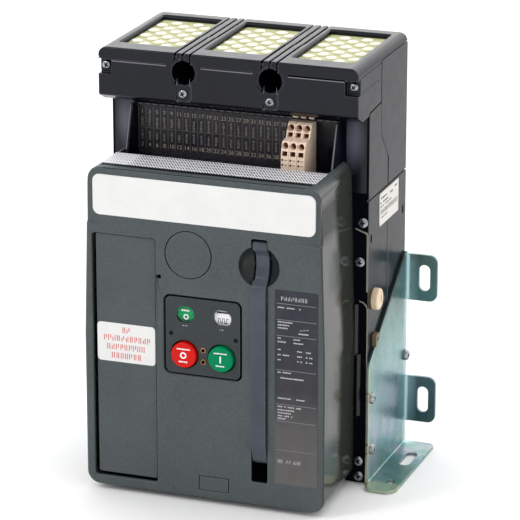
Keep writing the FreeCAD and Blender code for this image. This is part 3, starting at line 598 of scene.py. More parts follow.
SCREEN = plastic("vent_screen", (166, 168, 122), (192, 194, 148), grain=0.4, blotch=160.0)
# Vent domes get lighter towards their tops.
DOME = height_ramped("vent_dome", 337.0, 338.4,
             ((0.0, (166, 164, 118)), (0.5, (208, 204, 174)), (1.0, (226, 222, 206))),
             (0.15, (300.0,), (200, 198, 160), (240, 238, 228), 0.35), (0.25, 0.45, 500.0), (900.0, 0.1))
RATING = height_ramped("label_dark", 24.0, 181.0,
               ((0.0, (94, 91, 90)), (0.3, (82, 80, 80)), (0.5, (48, 48, 53)), (0.7, (44, 45, 54)),
                (1.0, (42, 44, 54))),
               (0.12, (90.0, 4.0), (30, 30, 36), (96, 95, 98), 0.3), (0.34, 0.46, 300.0), (1800.0, 0.08), 1.3)
WHITE = label_white("label_white", (224, 224, 223))
PAPER = label_white("label_paper", (212, 209, 203))
HATCHED = hatched_label()
INK = ink("dark", (28, 30, 34), (40, 42, 46))
INK_RED = ink("red", (196, 48, 36), (208, 66, 52), 1.2)
INK_PALE = ink("pale", (168, 168, 172), (190, 190, 194))
# Pale ink for printed rules, also used for painted highlight strips.
RULE_INK_AND_HIGHLIGHT = ink("rule_and_highlight", (104, 104, 110), (122, 122, 128))
INK_DIM = ink("dim", (102, 97, 92), (124, 117, 110))
INK_NUMBER = ink("number", (158, 148, 138), (178, 170, 160))
INK_WHITE = ink("white", (232, 232, 232), (246, 246, 246))
LENS = glass()
ZINC = zinc_bracket()
SCREW = metal("zinc_screw", (104, 112, 116), (176, 184, 188), (0.16, 0.3), scale=500.0)
CLIP = metal("clip_zinc", (150, 146, 124), (206, 202, 178), (0.2, 0.34), scale=400.0)
BRASS = metal("brass", (130, 86, 50), (196, 146, 100), scale=600.0)
COPPER = metal("copper", (188, 122, 92), (206, 142, 110), (0.28, 0.4), (1, 1, 3), 140.0, 0.05)
STEEL = metal("mechanism_steel", (120, 122, 124), (170, 172, 176), stretch=(1, 6, 1), scale=90.0)
PLATES = metal("splitter_steel", (100, 102, 106), (150, 152, 156), stretch=(6, 1, 1), scale=80.0)
SPRING = metal("spring_steel", (60, 62, 66), (116, 118, 124), scale=300.0)


# ---- small printed marks ------------------------------------------------------------------------
def glyph(rng, x, z, w, h):
    """Plain strokes that stand for one character of the print; small print becomes a dash."""
    if h < 2.4:
        return [(x, x + 1.12 * w, z + rng.uniform(0.12, 0.26) * h, z + rng.uniform(0.74, 0.92) * h)]
    t = 0.24 * w
    first = x + rng.uniform(0.0, 0.2) * w
    return [(first, first + t, z, z + h * rng.choice((1.0, 1.0, 0.65))),
            (x + 0.72 * w, x + 0.72 * w + t, z + h * rng.choice((0.0, 0.0, 0.35)), z + h)]


def text_rects(rng, x0, x1, z, h, w=None, spaces=0.16):
    """A line of made-up characters between x0 and x1."""
    w = w or h * 0.62
    rects = []
    x = x0
    while x + w <= x1:
        if rng.random() > spaces or x == x0:
            rects += glyph(rng, x, z, w, h)
        x += w * 1.42
    return rects


def marks(name, rects, d0, d1, material, slot, body=BODY):
    parts = [box("mark", x0, x1, d0, d1, z0, z1) for x0, x1, z0, z1 in rects]
    return dress(join(name, parts), material, slot, body)


def ring(name, x, z, r0, r1, d0, d1):
    """Flat ring facing forward."""
    count = 32
    verts = []
    for d in (d0, d1):
        for r in (r0, r1):
            verts += [at(a, d, b) for a, b in circle(x, z, r, count)]
    faces = []
    for i in range(count):
        j = (i + 1) % count
        for a, b in ((0, 1), (1, 3), (3, 2), (2, 0)):
            faces.append((a * count + i, a * count + j, b * count + j, b * count + i))
    return make_object(name, verts, faces)


# ---- screws -------------------------------------------------------------------------------------
def screw_mesh(r, height):
    """Pan head with a cross recess, pointing along +Z, in millimetres; also returns a dark floor for the
    recess as painted shade.
    """
    profile = [(r * 0.96, 0.0), (r, 0.18 * height), (r, 0.42 * height), (0.93 * r, 0.68 * height),
               (0.74 * r, 0.9 * height), (0.4 * r, height), (0.1 * r, 1.02 * height)]
    rings = [[Vector((a, b, h)) * MM for a, b in circle(0, 0, q, 28)] for q, h in profile]
    head = loft("screw", rings)
    arm, thick = 0.62 * r, 0.17 * r
    cross = rounded([(-thick, -arm), (thick, -arm), (thick, -thick), (arm, -thick), (arm, thick),
                     (thick, thick), (thick, arm), (-thick, arm), (-thick, thick), (-arm, thick),
                     (-arm, -thick), (-thick, -thick)], 0)
    tool = loft("cross", [[Vector((a * s, b * s, h * height)) * MM for a, b in cross]
                          for s, h in ((0.35, 0.35), (1.0, 1.1))])
    floor = loft("recess", [[Vector((a * 0.98, b * 0.98, h * height)) * MM for a, b in cross]
                            for h in (0.5, 0.86)])
    return combine(head, [tool]), floor


def screws(name, places, r, height, material, slot, nodes):
    """Copies of one screw at (x, depth, z, direction); direction is 'front', 'left' or 'right'."""
    templates = screw_mesh(r, height)
    turn = {"front": (90, "X"), "right": (90, "Y"), "left": (-90, "Y")}
    groups = []
    for template in templates:
        parts = []
        for index, (x, depth, z, way) in enumerate(places):
            copy = add_object("copy", template.data.copy())
            spin = Matrix.Rotation(0.4 + 1.1 * index, 4, "Z")
            aim = Matrix.Rotation(math.radians(turn[way][0]), 4, turn[way][1])
            copy.data.transform(Matrix.Translation(at(x, depth, z)) @ aim @ spin)
            parts.append(copy)
        bpy.data.objects.remove(template)
        groups.append(parts)
    # Painted shade: dark floors in the cross recesses.
    dress(join(name + "_recess_shade", groups[1]), SHADE_BLACK, slot)
    dress(join(name, groups[0]), material, slot, BODY, nodes, soft=0.08)


# ---- front cover --------------------------------------------------------------------------------
def cover_ring(depth, low, high, inset=0.0, bottom=4.0, top=COVER_TOP):
    """Outline of the cover at one depth: full width low down, a little narrower at the top."""
    knee = 128.0
    low, high = low - inset, high - inset
    points = [(-low, bottom + inset), (low, bottom + inset), (low, knee), (high, top - inset),
              (-high, top - inset), (-low, knee)]
    outline = rounded(points, [10 - inset * 0.6, 10 - inset * 0.6, 0, 11 - inset * 0.6,
                               11 - inset * 0.6, 0], 8)
    return [at(x, depth, z) for x, z in outline]


def flared(name, x0, x1, z0, z1, r, flare):
    """Cutter for an opening whose front edge is chamfered."""
    rings = [(165.0, 0.0), (COVER_FRONT - flare, 0.0), (COVER_FRONT, flare), (COVER_FRONT + 3, flare)]
    return loft(name, [[at(x, d, z) for x, z in rect(x0 - g, x1 + g, z0 - g, z1 + g, r + g)]
                       for d, g in rings])


def front_cover():
    edge = 2.6
    rings = [cover_ring(FLANGE_DEPTH + 0.2, 94.5, 91.0), cover_ring(COVER_FRONT - edge, 97.3, 93.3)]
    for k in range(1, 5):
        a = math.radians(90 * k / 4)
        rings.append(cover_ring(COVER_FRONT - edge + edge * math.sin(a), 97.3, 93.3,
                                edge * (1 - math.cos(a))))
    shell = loft("front_cover_shell", rings)
    combine(shell, [loft("hollow", [cover_ring(d, 91.5, 88.0, 0, 7, 259) for d in (93, 172)])])
    combine(shell, [rod_y("dish", *SCALLOP, 19.5, 162.0, 173.0, 64)], "UNION")
    deep = 10.5
    ball = (SCALLOP_R ** 2 + deep ** 2) / (2 * deep)
    profile = []
    for k in range(13):
        r = 1.5 + (SCALLOP_R - 1.5) * k / 12
        profile.append((r, COVER_FRONT - deep + ball - math.sqrt(ball ** 2 - r ** 2)))
    profile += [(17.3, COVER_FRONT + 0.15), (17.3, COVER_FRONT + 2)]
    combine(shell, [turned_y("scoop", *SCALLOP, profile, 64)])
    cuts = [prism_y("slot", rect(39.1, 52.1, 23.0, 218.3, 1.6), 150, 180),
            box("terminals", -84.5, 84.5, 90, TERMINAL_FRONT, 236, 280),
            flared("bay", -89.8, -38.6, 12.0, 209.3, 2.0, 1.1),
            flared("panel", -31.6, 31.2, 103.2, 166.8, 5.0, 1.0),
            rod_y("plug", *PLUG, 19.05, 165, 180, 72),
            prism_y("counter", rect(-3.9, 20.8, 10.8, 22.7, 0.9), 165, 180),
            rod_y("peep", -35.2, 180.1, 1.7, 170, 180, 24),
            rod_y("mark", -29.0, 52.0, 0.6, 174.4, 180, 16)]
    for side in SIDES:
        step = [(side * x, d) for x, d in ((100, 93), (95.4, 93), (95.2, 171.2), (93.4, 173.0),
                                           (88, 173.9), (70, 175.02), (70, 178), (100, 178))]
        cuts.append(prism_z("step", step, 217.3, 270.0))
    combine(shell, cuts)
    dress(shell, GREY, "cover_grey", nodes=["front_cover"], soft=0.55)
    # Painted shade: a dark sheet behind the bay, seen through the gap around the blanking panel.
    dress(box("bay_shade_sheet", -91.0, -37.2, 165.6, 167.0, 10.8, 210.4), SHADE_BLACK, "panel_grey", soft=0.2)
    panel = prism_y("blanking_panel_face", rect(-87.4, -39.1, 14.6, 208.8, 1.6), 168.6, 172.9)
    dress(panel, GREY, "panel_grey", nodes=["blanking_panel"], soft=0.5)


def button_panel():
    face = prism_y("button_panel_face", rect(-30.3, 29.9, 104.5, 165.5, 4.2), 170.4, 174.4)
    combine(face, [rod_y("sleeve", x, BUTTON_Z, 13.0, 162, 172.0) for x in BUTTONS], "UNION")
    cuts = [rod_y("bore", x, BUTTON_Z, BUTTON_BORE_R, 150, 180, 64) for x in BUTTONS]
    cuts += [prism_y("window", window(x, 7.3, 6.4), 160, 180) for x in WINDOWS]
    cuts += [rod_y("seat", x, z, 1.9, SCREW_SEAT, 180, 24) for x, z in PANEL_SCREWS]
    cuts += [rod_y("socket", SOCKET_X, z, 2.4, 160, 180, 32) for z in SOCKET_Z]
    combine(face, cuts)
    dress(face, PANEL, "panel_grey", nodes=["button_panel"], soft=0.45)
    # Painted shade: a dark sheet behind the panel, seen through the button and window gaps.
    shade_sheet = box("button_panel_shade_sheet", -33.0, 32.6, 165.4, 167.0, 101.8, 168.2)
    holes = [rod_y("bore", x, BUTTON_Z, 13.6, 150, 180) for x in BUTTONS]
    holes.append(box("flags", -24.5, 25.5, 150, 180, 139.2, 165.0))
    holes += [rod_y("socket", SOCKET_X, z, 2.5, 160, 180, 32) for z in SOCKET_Z]
    dress(combine(shade_sheet, holes), SHADE_BLACK, "panel_grey", soft=0.2)
    screws("panel_screw_heads", [(x, SCREW_SEAT + 0.05, z, "front") for x, z in PANEL_SCREWS], 1.7, 0.9,
           DARK_SCREW, "zinc_screw", ["panel_screws"])
    sockets = []
    for z in SOCKET_Z:
        body = turned_y("socket", SOCKET_X, z, [(2.3, 166), (2.3, 174.6), (2.0, 174.95)], 32)
        sockets.append(combine(body, [rod_y("hole", SOCKET_X, z, 1.5, 170, 180, 24)]))
    dress(join("brass_sockets", sockets), BRASS, "brass", nodes=["panel_sockets"], soft=0.1)
    rng = random.Random(5)
    rects = []
    for x in WINDOWS:
        rects += text_rects(rng, x - 2.0, x + 2.2, 142.6, 0.9)
    marks("panel_marks", rects, 174.3, 174.45, INK_PALE, "panel_grey")


def window(x, half_x, half_z, steps=10):
    """Round window with flat top and bottom."""
    limit = math.asin(half_z / half_x)
    points = []
    for side in (0, math.pi):
        for k in range(steps + 1):
            a = side - limit + 2 * limit * k / steps
            points.append((x + half_x * math.cos(a), WINDOW_Z + half_x * math.sin(a)))
    return points


def indicators():
    lenses = [prism_y("lens", window(x, 7.1, 6.2), 173.0, 173.8) for x in WINDOWS]
    dress(join("indicator_windows", lenses), LENS, "lens_clear", nodes=["indicator_lenses"], soft=0.1)
    axis_depth, axis_z = FLAG_AXIS
    front = axis_depth + FLAG_R - 0.1
    for x, body, node, material, slot in (
            (WINDOWS[0], "contact_indicator", "contact_flag", FLAG_GREEN, "flag_green"),
            (WINDOWS[1], "charge_indicator", "charge_flag", FLAG_WHITE, "flag_white")):
        outline = arc(FLAG_AXIS, FLAG_R, -52, 120, 32) + arc(FLAG_AXIS, 12.4, 120, -52, 32)
        drum = prism_x(node + "_drum", outline, x - 6.9, x + 6.9)
        hub = rod_x("hub", FLAG_AXIS, 3.6, x - 5.4, x + 5.4, 32)
        web = rect(axis_depth + 1, axis_depth + 13.0, axis_z - 1.2, axis_z + 1.2)
        combine(drum, [hub, prism_x("web", web, x - 1.0, x + 1.0)], "UNION")
        combine(drum, [rod_x("bore", FLAG_AXIS, 2.06, x - 8, x + 8, 32)])
        dress(drum, material, slot, body, [node], soft=0.15)

        def print_on(name, rects, d0, d1, colour):
            marks(name, rects, front + d0, front + d1, colour, "flag_white", body)

        rng = random.Random(11 if x < 0 else 12)
        if x < 0:
            print_on("contact_flag_bars", text_rects(rng, x - 3.6, x + 3.8, 153.6, 1.7, 1.15, 0.0),
                     -0.5, 0.12, INK_WHITE)
            zero = ring("contact_flag_zero", x, 149.4, 1.35, 2.15, front - 0.6, front + 0.12)
            dress(zero, INK_WHITE, "flag_white", body)
        else:
            print_on("charge_flag_bar", [(x - 5.2, x + 5.2, 153.5, 156.6)], -1.6, -0.22, INK)
            print_on("charge_flag_text", text_rects(rng, x - 4.6, x + 4.8, 154.3, 1.4, 1.1, 0.0),
                     -0.5, -0.1, INK_WHITE)
            line = []
            for k in range(5):
                x0 = x - 4.2 + 1.7 * k
                z = 151.2 if k % 2 == 0 else 147.6
                line += [(x0, x0 + 0.45, 147.6, 151.6), (x0, x0 + 1.9, z, z + 0.45)]
            print_on("charge_flag_spring", line, -0.6, 0.1, INK)


def push_buttons():
    profile = [(9.9, 168.0), (10.2, 168.6), (10.2, 176.0), (10.05, 176.7), (9.6, 177.2),
               (8.9, 177.38), (8.2, 177.3), (0.6, 177.35)]
    print_depths = (177.0, 177.42)
    for x, body, node, material, slot in ((BUTTONS[0], "off_push", "off_button", RED, "off_red"),
                                          (BUTTONS[1], "on_push", "on_button", GREEN, "on_green")):
        cap = turned_y(node + "_cap", x, BUTTON_Z, profile, 64)
        combine(cap, [rod_y("stem", x, BUTTON_Z, 4.0, 144.6, 170.0, 32)], "UNION")
        dress(cap, material, slot, body, [node], soft=0)
        rng = random.Random(21 if x < 0 else 22)
        rects = text_rects(rng, x - 5.2, x + 5.4, BUTTON_Z + 4.2, 1.5, 0.95, 0.12)
        rects += text_rects(rng, x - 3.6, x + 3.8, BUTTON_Z - 6.0, 1.6, 1.0, 0.0)
        if x > 0:
            rects.append((x - 0.5, x + 0.6, BUTTON_Z - 2.6, BUTTON_Z + 2.8))
        else:
            zero = ring("off_button_zero", x, BUTTON_Z, 1.5, 2.6, *print_depths)
            dress(zero, INK_WHITE, "flag_white", body)
        marks(node + "_marks", rects, *print_depths, INK_WHITE, "flag_white", body)


def charging_handle():
    points = [(144.0, 50.0), (160.0, 41.5), (167.0, 36.5), (173.6, 39.0), (178.0, 54.0), (178.0, 180.6),
              (171.0, 187.5), (168.6, 196.0), (169.4, 204.0), (174.0, 210.0), (174.0, 215.8),
              (164.0, 216.6), (160.4, 210.0), (160.4, 192.0), (163.5, 180.0), (163.5, 92.0),
              (157.0, 74.0), (144.0, 70.0)]
    radii = [3, 4, 3, 8, 26, 6, 7, 12, 7, 2.6, 2.2, 3, 6, 10, 8, 12, 8, 4]
    width = (HANDLE_X - 5.9, HANDLE_X + 5.9)
    bar = prism_x("charging_handle_bar", rounded(points, radii, 7), *width)
    combine(bar, [rod_x("hub", CAM_AXIS, 13.0, *width)], "UNION")
    neck = [(38, 183), (40.9, 186), (40.9, 207), (39.5, 209), (38, 209)]
    combine(bar, [rod_x("bore", CAM_AXIS, 5.06, HANDLE_X - 8, HANDLE_X + 8), prism_y("neck", neck, 150, 180)])
    dress(bar, HANDLE, "handle_black", "charging_lever", ["charging_handle"], soft=0.9)


def cover_fittings():
    rim = [(18.4, 170.5), (18.4, 174.5), (18.2, 174.8), (17.8, 174.95)]
    dress(turned_y("lock_plug_face", *PLUG, rim, 72), GREY, "cover_grey", nodes=["lock_plug"], soft=0)
    blank = prism_y("counter_knockout", rect(-3.3, 20.2, 11.4, 22.1, 0.7), 170.5, 174.95)
    dress(blank, GREY, "cover_grey", nodes=["counter_blank"], soft=0.25)
    # Painted shade: a dark sheet behind the lock plug and counter knock-out grooves.
    shade_sheet = join("cover_shade_sheet", [box("counter", -6.0, 23.0, 167.5, 169.0, 8.8, 24.8),
                                     rod_y("plug", *PLUG, 20.5, 167.5, 169.0, 48)])
    dress(shade_sheet, SHADE_BLACK, "cover_grey", soft=0.2)
    plate = prism_y("front_label", rect(-88.4, 89.8, 224.7, 256.5, 5.5, 8), 173.4, 175.5)
    dress(plate, WHITE, "label_white", nodes=["front_label_plate"], soft=0.2)
    rng = random.Random(3)
    rating_label(rng)
    caution_label(rng)
    strip = box("terminal_strip_label", -85.5, 85.5, TERMINAL_FRONT + 0.6, 163.0, 261.8, 262.25)
    dress(strip, HATCHED, "label_white", nodes=["terminal_label"], soft=0.08)
    # Painted shade: a dark strip on the cover top in front of the label, standing for a shaded, darkly
    # reflecting band.
    band = box("cover_top_painted_shade", -84.0, 84.0, 163.6, 168.4, 261.7, 262.12)
    dress(band, SHADE_BLACK, "moulding_black", soft=0.1)


def rating_label(rng):
    rating = prism_y("rating_label", rect(58.1, 92.4, 24.8, 180.8, 1.4), 174.6, 175.3)
    dress(rating, RATING, "label_dark", nodes=["rating_plate"], soft=0.1)
    print_depths = (175.2, 175.36)
    rules = [(59.4, 91.0, z, z + 0.5) for z in (170.0, 157.2, 144.6, 117.2, 89.6, 76.0, 52.4)]
    marks("rating_rules", rules, *print_depths, RULE_INK_AND_HIGHLIGHT, "label_dark")
    text = text_rects(rng, 63.0, 86.0, 172.8, 3.2, 1.9, 0.1)
    left = 60.5
    for z, spans in ((166.4, ((left, 66.0), (67.5, 74.0), (77.5, 79.5))), (155.0, ((left, 73.5),)),
                     (152.6, ((left, 70.0),)), (150.2, ((left, 69.0),)), (147.0, ((77.0, 86.0),)),
                     (142.0, ((left, 64.0), (73.0, 80.0))), (139.2, ((left, 68.0), (73.0, 83.0))),
                     (132.8, ((left, 64.0), (76.0, 80.5), (83.0, 88.5))),
                     (128.8, ((left, 70.0), (76.0, 80.5), (83.0, 88.5))),
                     (124.8, ((left, 64.5), (76.0, 80.5), (83.0, 88.5))),
                     (114.8, ((left, 71.0),)), (110.4, ((62.5, 81.0),)),
                     (94.0, ((left, 71.0), (75.5, 82.0))), (87.2, ((left, 79.5),)),
                     (84.6, ((left, 74.0),)), (82.2, ((left, 71.0),)), (79.8, ((left, 73.5),)),
                     (77.6, ((left, 68.0),))):
        for x0, x1 in spans:
            text += text_rects(rng, x0, x1, z, 1.45, 0.95, 0.1)
    for k in range(3):
        text.append((78.0 + 2.6 * k, 79.9 + 2.6 * k, 150.2 + 0.5 * k, 150.6 + 0.5 * k))
    for x0, x1 in ((60.8, 65.4), (67.4, 71.8), (73.0, 80.0)):
        text += text_rects(rng, x0, x1, 42.0, 3.0, 1.5, 0.0)
    marks("rating_text", text, *print_depths, INK_PALE, "label_dark")


def caution_label(rng):
    plate = prism_y("caution_plate", rect(-87.2, -39.5, 106.7, 138.0, 3.0, 6), 172.6, 173.2)
    dress(plate, WHITE, "label_white", nodes=["caution_label"], soft=0.1)
    words = []
    for z, x0, x1 in ((130.6, -66.6, -59.4), (123.6, -81.8, -43.6), (116.6, -79.2, -46.4),
                      (109.6, -75.4, -49.6)):
        words += text_rects(rng, x0, x1, z, 4.6, 2.5, 0.0)
    marks("caution_text", words, 173.1, 173.28, INK_RED, "label_white")


# ---- wiring terminals ---------------------------------------------------------------------------
def digits(text, x, depth, z, size):
    curve = bpy.data.curves.new("digits", "FONT")
    curve.body = text
    curve.size = size * MM
    curve.align_x = "CENTER"
    curve.extrude = 0.04 * MM
    flat = add_object("digits", curve)
    flat.matrix_world = Matrix.Translation(at(x, depth, z)) @ Matrix.Rotation(math.radians(90), 4, "X")
    bpy.context.view_layer.update()
    mesh = evaluated(flat)
    mesh.transform(flat.matrix_world)
    bpy.data.objects.remove(flat)
    return add_object("digits", mesh)


def wiring_terminals():
    half = TERMINAL_HALF

    def add(name, parts, material, **more):
        dress(join(name, parts), material, "moulding_black", **more)

    back = box("terminal_back", -half, half, FLANGE_DEPTH + 0.3, 97.4, 240, 294)
    combine(back, [box("step", -half, half, 97, d, z0, z1) for d, z0, z1 in (
        (130.5, 240, 244.5), (108.0, 244, 247.6), (101.6, 247, 251.6), (101.4, 291.8, 294.0))], "UNION")
    dress(back, BLACK, "moulding_black", nodes=["terminal_carrier"], soft=0.3)
    cheek = [(97, 245), (121, 245), (118.2, 261), (107.5, 294), (97, 294)]
    add("terminal_cheeks", [prism_x("cheek", cheek, s * half, s * (half - 1.6)) for s in SIDES], BLACK,
        soft=0.3)
    # Painted highlight: pale strips along the cheeks' slanted front edges.
    trim = [(118.9, 260.2), (119.5, 260.4), (108.6, 293.4), (108.0, 293.2)]
    add("terminal_cheek_edge_highlights", [prism_x("edge", trim, s * (half - 0.1), s * (half - 0.9)) for s in SIDES],
        RULE_INK_AND_HIGHLIGHT, soft=0.1)
    plate = prism_y("terminal_number_plate", rect(-81.6, 43.6, 252.6, 291.4, 0.6, 2), 97.0, 98.0)
    dress(plate, PRINT, "moulding_black", soft=0.1)
    rng = random.Random(4)
    printed = (97.9, 98.12)
    lines, numbers, dim = [], [], []
    for way, x in enumerate(WAYS[:20]):
        lines.append(box("line", x - 3.2, x - 2.9, *printed, 256.5, 290.0))
        dim.append(box("line", x - 2.2, x + 2.2, *printed, 273.2, 273.5))
        z = 263.6
        while z < 281.6:
            tall = rng.uniform(0.9, 3.0)
            if not 271.8 < z + tall < 274.8:
                dim.append(box("stroke", x - rng.uniform(0.5, 1.0), x + rng.uniform(0.4, 1.0), *printed,
                               z, z + tall * 0.8))
            z += tall
        numbers += [digits(str(2 * way + 1), x, 98.02, 284.6, 4.6),
                    digits(str(2 * way + 2), x, 98.02, 258.2, 4.6)]
    add("terminal_lines", lines, INK_DIM)
    add("terminal_small_print", dim, INK_DIM)
    add("terminal_teeth", [box("tooth", x - 2.0, x + 2.0, 101.0, 103.4, 249.0, 251.2) for x in WAYS], BLACK,
        soft=0.25)
    add("terminal_numbers", numbers, INK_NUMBER)
    add("terminal_dashes", [box("dash", x - 1.9, x + 1.6, 101.2, 101.6, 293.1, 293.6) for x in WAYS],
        RULE_INK_AND_HIGHLIGHT)


def wiring_block():
    first, width = 44.9, 6.4
    outline = [(98.4, 246.0), (125.8, 246.0), (125.8, 271.0), (124.0, 278.4), (122.0, 280.6), (114.4, 281.2),
               (109.4, 291.0), (107.4, 292.4), (98.4, 292.4)]
    outline = rounded(outline, [0, 0.6, 6, 1.4, 1.2, 2.0, 1.2, 0.8, 0], 4)
    ways, dark, clips = [], [], []
    for index in range(3):
        left = first + index * width
        x = left + width / 2
        cuts = []
        for depth, round_z, square_z in ((111.5, 288.0, 283.3), (125.4, 277.2, 271.8)):
            square = rect(x - 2.3, x + 2.0, square_z - 2.1, square_z + 1.7, 0.4, 2)
            cuts += [rod_y("round", x - 0.2, round_z, 2.55, depth - 9, depth + 6, 32),
                     prism_y("square", square, depth - 6, depth + 6)]
            floor_z = square_z - 1.8
            wedge = [(depth - 5.9, floor_z), (depth - 0.6, floor_z), (depth - 5.9, square_z + 1.5)]
            dark += [rod_y("core", x - 0.2, round_z, 2.5, depth - 8.9, depth - 6.5, 24),
                     prism_x("ramp", wedge, x - 2.1, x + 1.8)]
        for z in (266.8, 263.0):
            dark += [rod_y("dot", x - 1.8, z, 0.85, 125.0, 125.95, 16),
                     box("dash", x - 0.2, x + 2.0, 125.4, 125.9, z - 0.25, z + 0.2)]
        clips.append(box("clip", x - 2.2, x + 2.0, 98.4, 101.4, 293.4, 295.6))
        ways.append(combine(prism_x("way", outline, left + 0.12, left + width - 0.12), cuts))
    dress(join("wiring_block_ways", ways), TAN, "terminal_tan", nodes=["wiring_block"], soft=0.2)
    dress(join("wiring_block_clamps", dark), CORE, "terminal_tan", soft=0.05)
    dress(join("wiring_block_clips", clips), TAN, "terminal_tan", soft=0.2)


# ---- arc chutes ---------------------------------------------------------------------------------
def chute(name, x0, x1, pole_x, own_hole, other_hole):
    """Cap of one pole between x0 and x1, with its own tool hole at the left edge and room for the
    next cap's hole at the right edge, and the bead that lies on its front."""
    front, seam, cap = CHUTE_FRONT, CHUTE_SEAM_DEPTH + 0.25, CAP_SEAM + 0.25
    collar_r, bore_r, clear_r = 11.4, 9.35, 11.9
    at_left, at_right = x0 < -100, x1 > 100
    side = [(0, cap), (seam, cap), (seam, 302.2), (92.4, 300.6), (94.4, 298.2), (110.5, 297.6),
            (front, 303.2), (front, TOP), (0, TOP)]
    body = prism_x(name, rounded(side, [0, 0, 0, 1, 1, 2, 2.4, 1.6, 1.0], 4), x0 + 0.2, x1 - 0.2)
    if at_left or at_right:
        shape = rect(x0 + 0.2, x1 - 0.2, 290, TOP, [0, 0, 6.5 * at_right, 6.5 * at_left], 8)
        combine(body, [prism_y("shape", shape, -1, 130)], "INTERSECT")
    cuts = []
    if own_hole is not None:
        def tongue(half, low, high, r, d0, d1):
            return prism_y("tongue", rect(own_hole - half, own_hole + half, low, high, r), d0, d1)

        collar = [(collar_r, CHUTE_SEAM_DEPTH + 3), (collar_r, front - 0.2), (collar_r - 0.5, front + 0.35)]
        combine(body, [turned_y("collar", own_hole, TOOL_Z, collar, 56),
                       tongue(5.4, 303.4, 320.0, 4.0, 112, front + 0.5)], "UNION")
        cuts.append(box("gap", own_hole - 8, own_hole - 5.6, front - 3.5, 126, 296.0, 318.0))
        cuts.append(combine(tongue(6.5, 302.3, 319.0, 5.0, front - 1.0, 123),
                            [tongue(5.4, 303.4, 325.0, 4.0, 119, 125)]))
        cuts.append(rod_y("bore", own_hole, TOOL_Z, bore_r, 60, 130, 56))
    if other_hole is not None:
        cuts.append(rod_y("clear", other_hole, TOOL_Z, clear_r, 60, 130, 56))
    left, right = pole_x - VENT_HALF, pole_x + VENT_HALF
    cuts.append(loft("mouth", [
        [at(x, d, z) for x, d in rect(left - g, right + g, VENT_NEAR - g, VENT_FAR + g, 1.0 + g)]
        for z, g in ((325.0, 0.0), (339.4, 0.0), (341.0, 1.4), (343.0, 1.4))]))
    left, right = left - 2, right + 2
    if own_hole is not None:
        left = max(left, own_hole + collar_r)
    if other_hole is not None:
        right = min(right, other_hole - clear_r - 1.5)
    cuts.append(box("chamber", left, right, CHUTE_SEAM_DEPTH - 3, VENT_FAR + 2, 306, 332.0))
    line = (x0 + 11.5 if at_left else own_hole + 14.0, x1 - 11.5 if at_right else other_hole - 14.0)
    cuts.append(box("parting", *line, front - 0.8, front + 2, 330.9, 331.5))
    for x in [hole + step for hole in (-TOOL_X, TOOL_X) for step in (-6.9, -0.6, 5.4)]:
        if x0 + 0.8 < x < x1 - 0.8:
            cuts += [box("groove", x - 0.35, x + 1.35, -1, 66.0, 338.6, 343),
                     box("groove", x - 0.85, x + 0.85, 65.8, 125, 337.8, 343),
                     box("groove", x - 0.85, x + 0.85, front - 2.2, 125, 333.5, 343)]
    for s, outside in ((-1, at_left), (1, at_right)):
        if outside:
            cuts += [box("notch", *both(s, 94.2, 107), 116.2, 126, 319.8, 331.6),
                     box("line", *both(s, HALF - 0.8, HALF + 2), 71, 122, 320.5, 321.3),
                     box("line", *both(s, HALF - 1.0, HALF + 2), 66, 122, 332.6, 333.3)]
    combine(body, cuts)
    return body, prism_x("bead", rect(front - 0.4, front + 0.18, 330.0, 330.75), *line)


def arc_chutes():
    beads = []
    split_left, split_right = -41.0, 29.0
    profile = ((4.95, 336.6), (4.95, 337.2), (4.6, 337.9), (3.7, 338.35), (2.2, 338.6), (0.5, 338.68))
    dome_reach = 4.9
    for name, x0, x1, pole, own, other in (
            ("left", -HALF, split_left, POLES[0], None, -TOOL_X),
            ("centre", split_left, split_right, POLES[1], -TOOL_X, TOOL_X),
            ("right", split_right, HALF, POLES[2], TOOL_X, None)):
        body, bead = chute("arc_chute_%s_shell" % name, x0, x1, pole, own, other)
        beads.append(bead)
        dress(body, BLACK, "moulding_black", nodes=["arc_chute_" + name], soft=0.5)
        grow = 0.4
        plate = box("vent_plate_" + name, pole - VENT_HALF - grow, pole + VENT_HALF + grow,
                    VENT_NEAR - grow, VENT_FAR + grow, 334.9, 337.0)
        dress(plate, SCREEN, "vent_screen", nodes=["vent_screen_" + name], soft=0.2)
        domes = []
        for row in range(-5, 6):
            depth = (VENT_NEAR + VENT_FAR) / 2 + row * 8.7
            if VENT_NEAR <= depth - dome_reach and depth + dome_reach <= VENT_FAR:
                for column in (-18.2, 0.0, 18.2) if row % 2 else (-9.1, 9.1):
                    domes.append(loft("dome", [[at(x, d, h) for x, d in circle(pole + column, depth, r, 28)]
                                               for r, h in profile]))
        dress(join("vent_domes_" + name, domes), DOME, "vent_screen", soft=0)
    dress(join("chute_parting_beads", beads), RULE_INK_AND_HIGHLIGHT, "moulding_black", soft=0.1)
    places = [(-35.0, CHUTE_FRONT + 0.5, 309.8, "front"), (35.0, CHUTE_FRONT + 0.5, 309.8, "front"),
              (-99.6, 116.2, 325.9, "front"), (99.6, 116.2, 325.9, "front")]
    screws("chute_screw_heads", places, 3.5, 2.4, SCREW, "zinc_screw", ["chute_screws"])


# ---- housings -----------------------------------------------------------------------------------
def side_groove(depth0, depth1, z0, z1, deep=0.6):
    """Shallow groove across both outer sides, in the depth and height plane."""
    return [box("groove", *both(s, HALF - deep, HALF + 2), depth0, depth1, z0, z1) for s in SIDES]


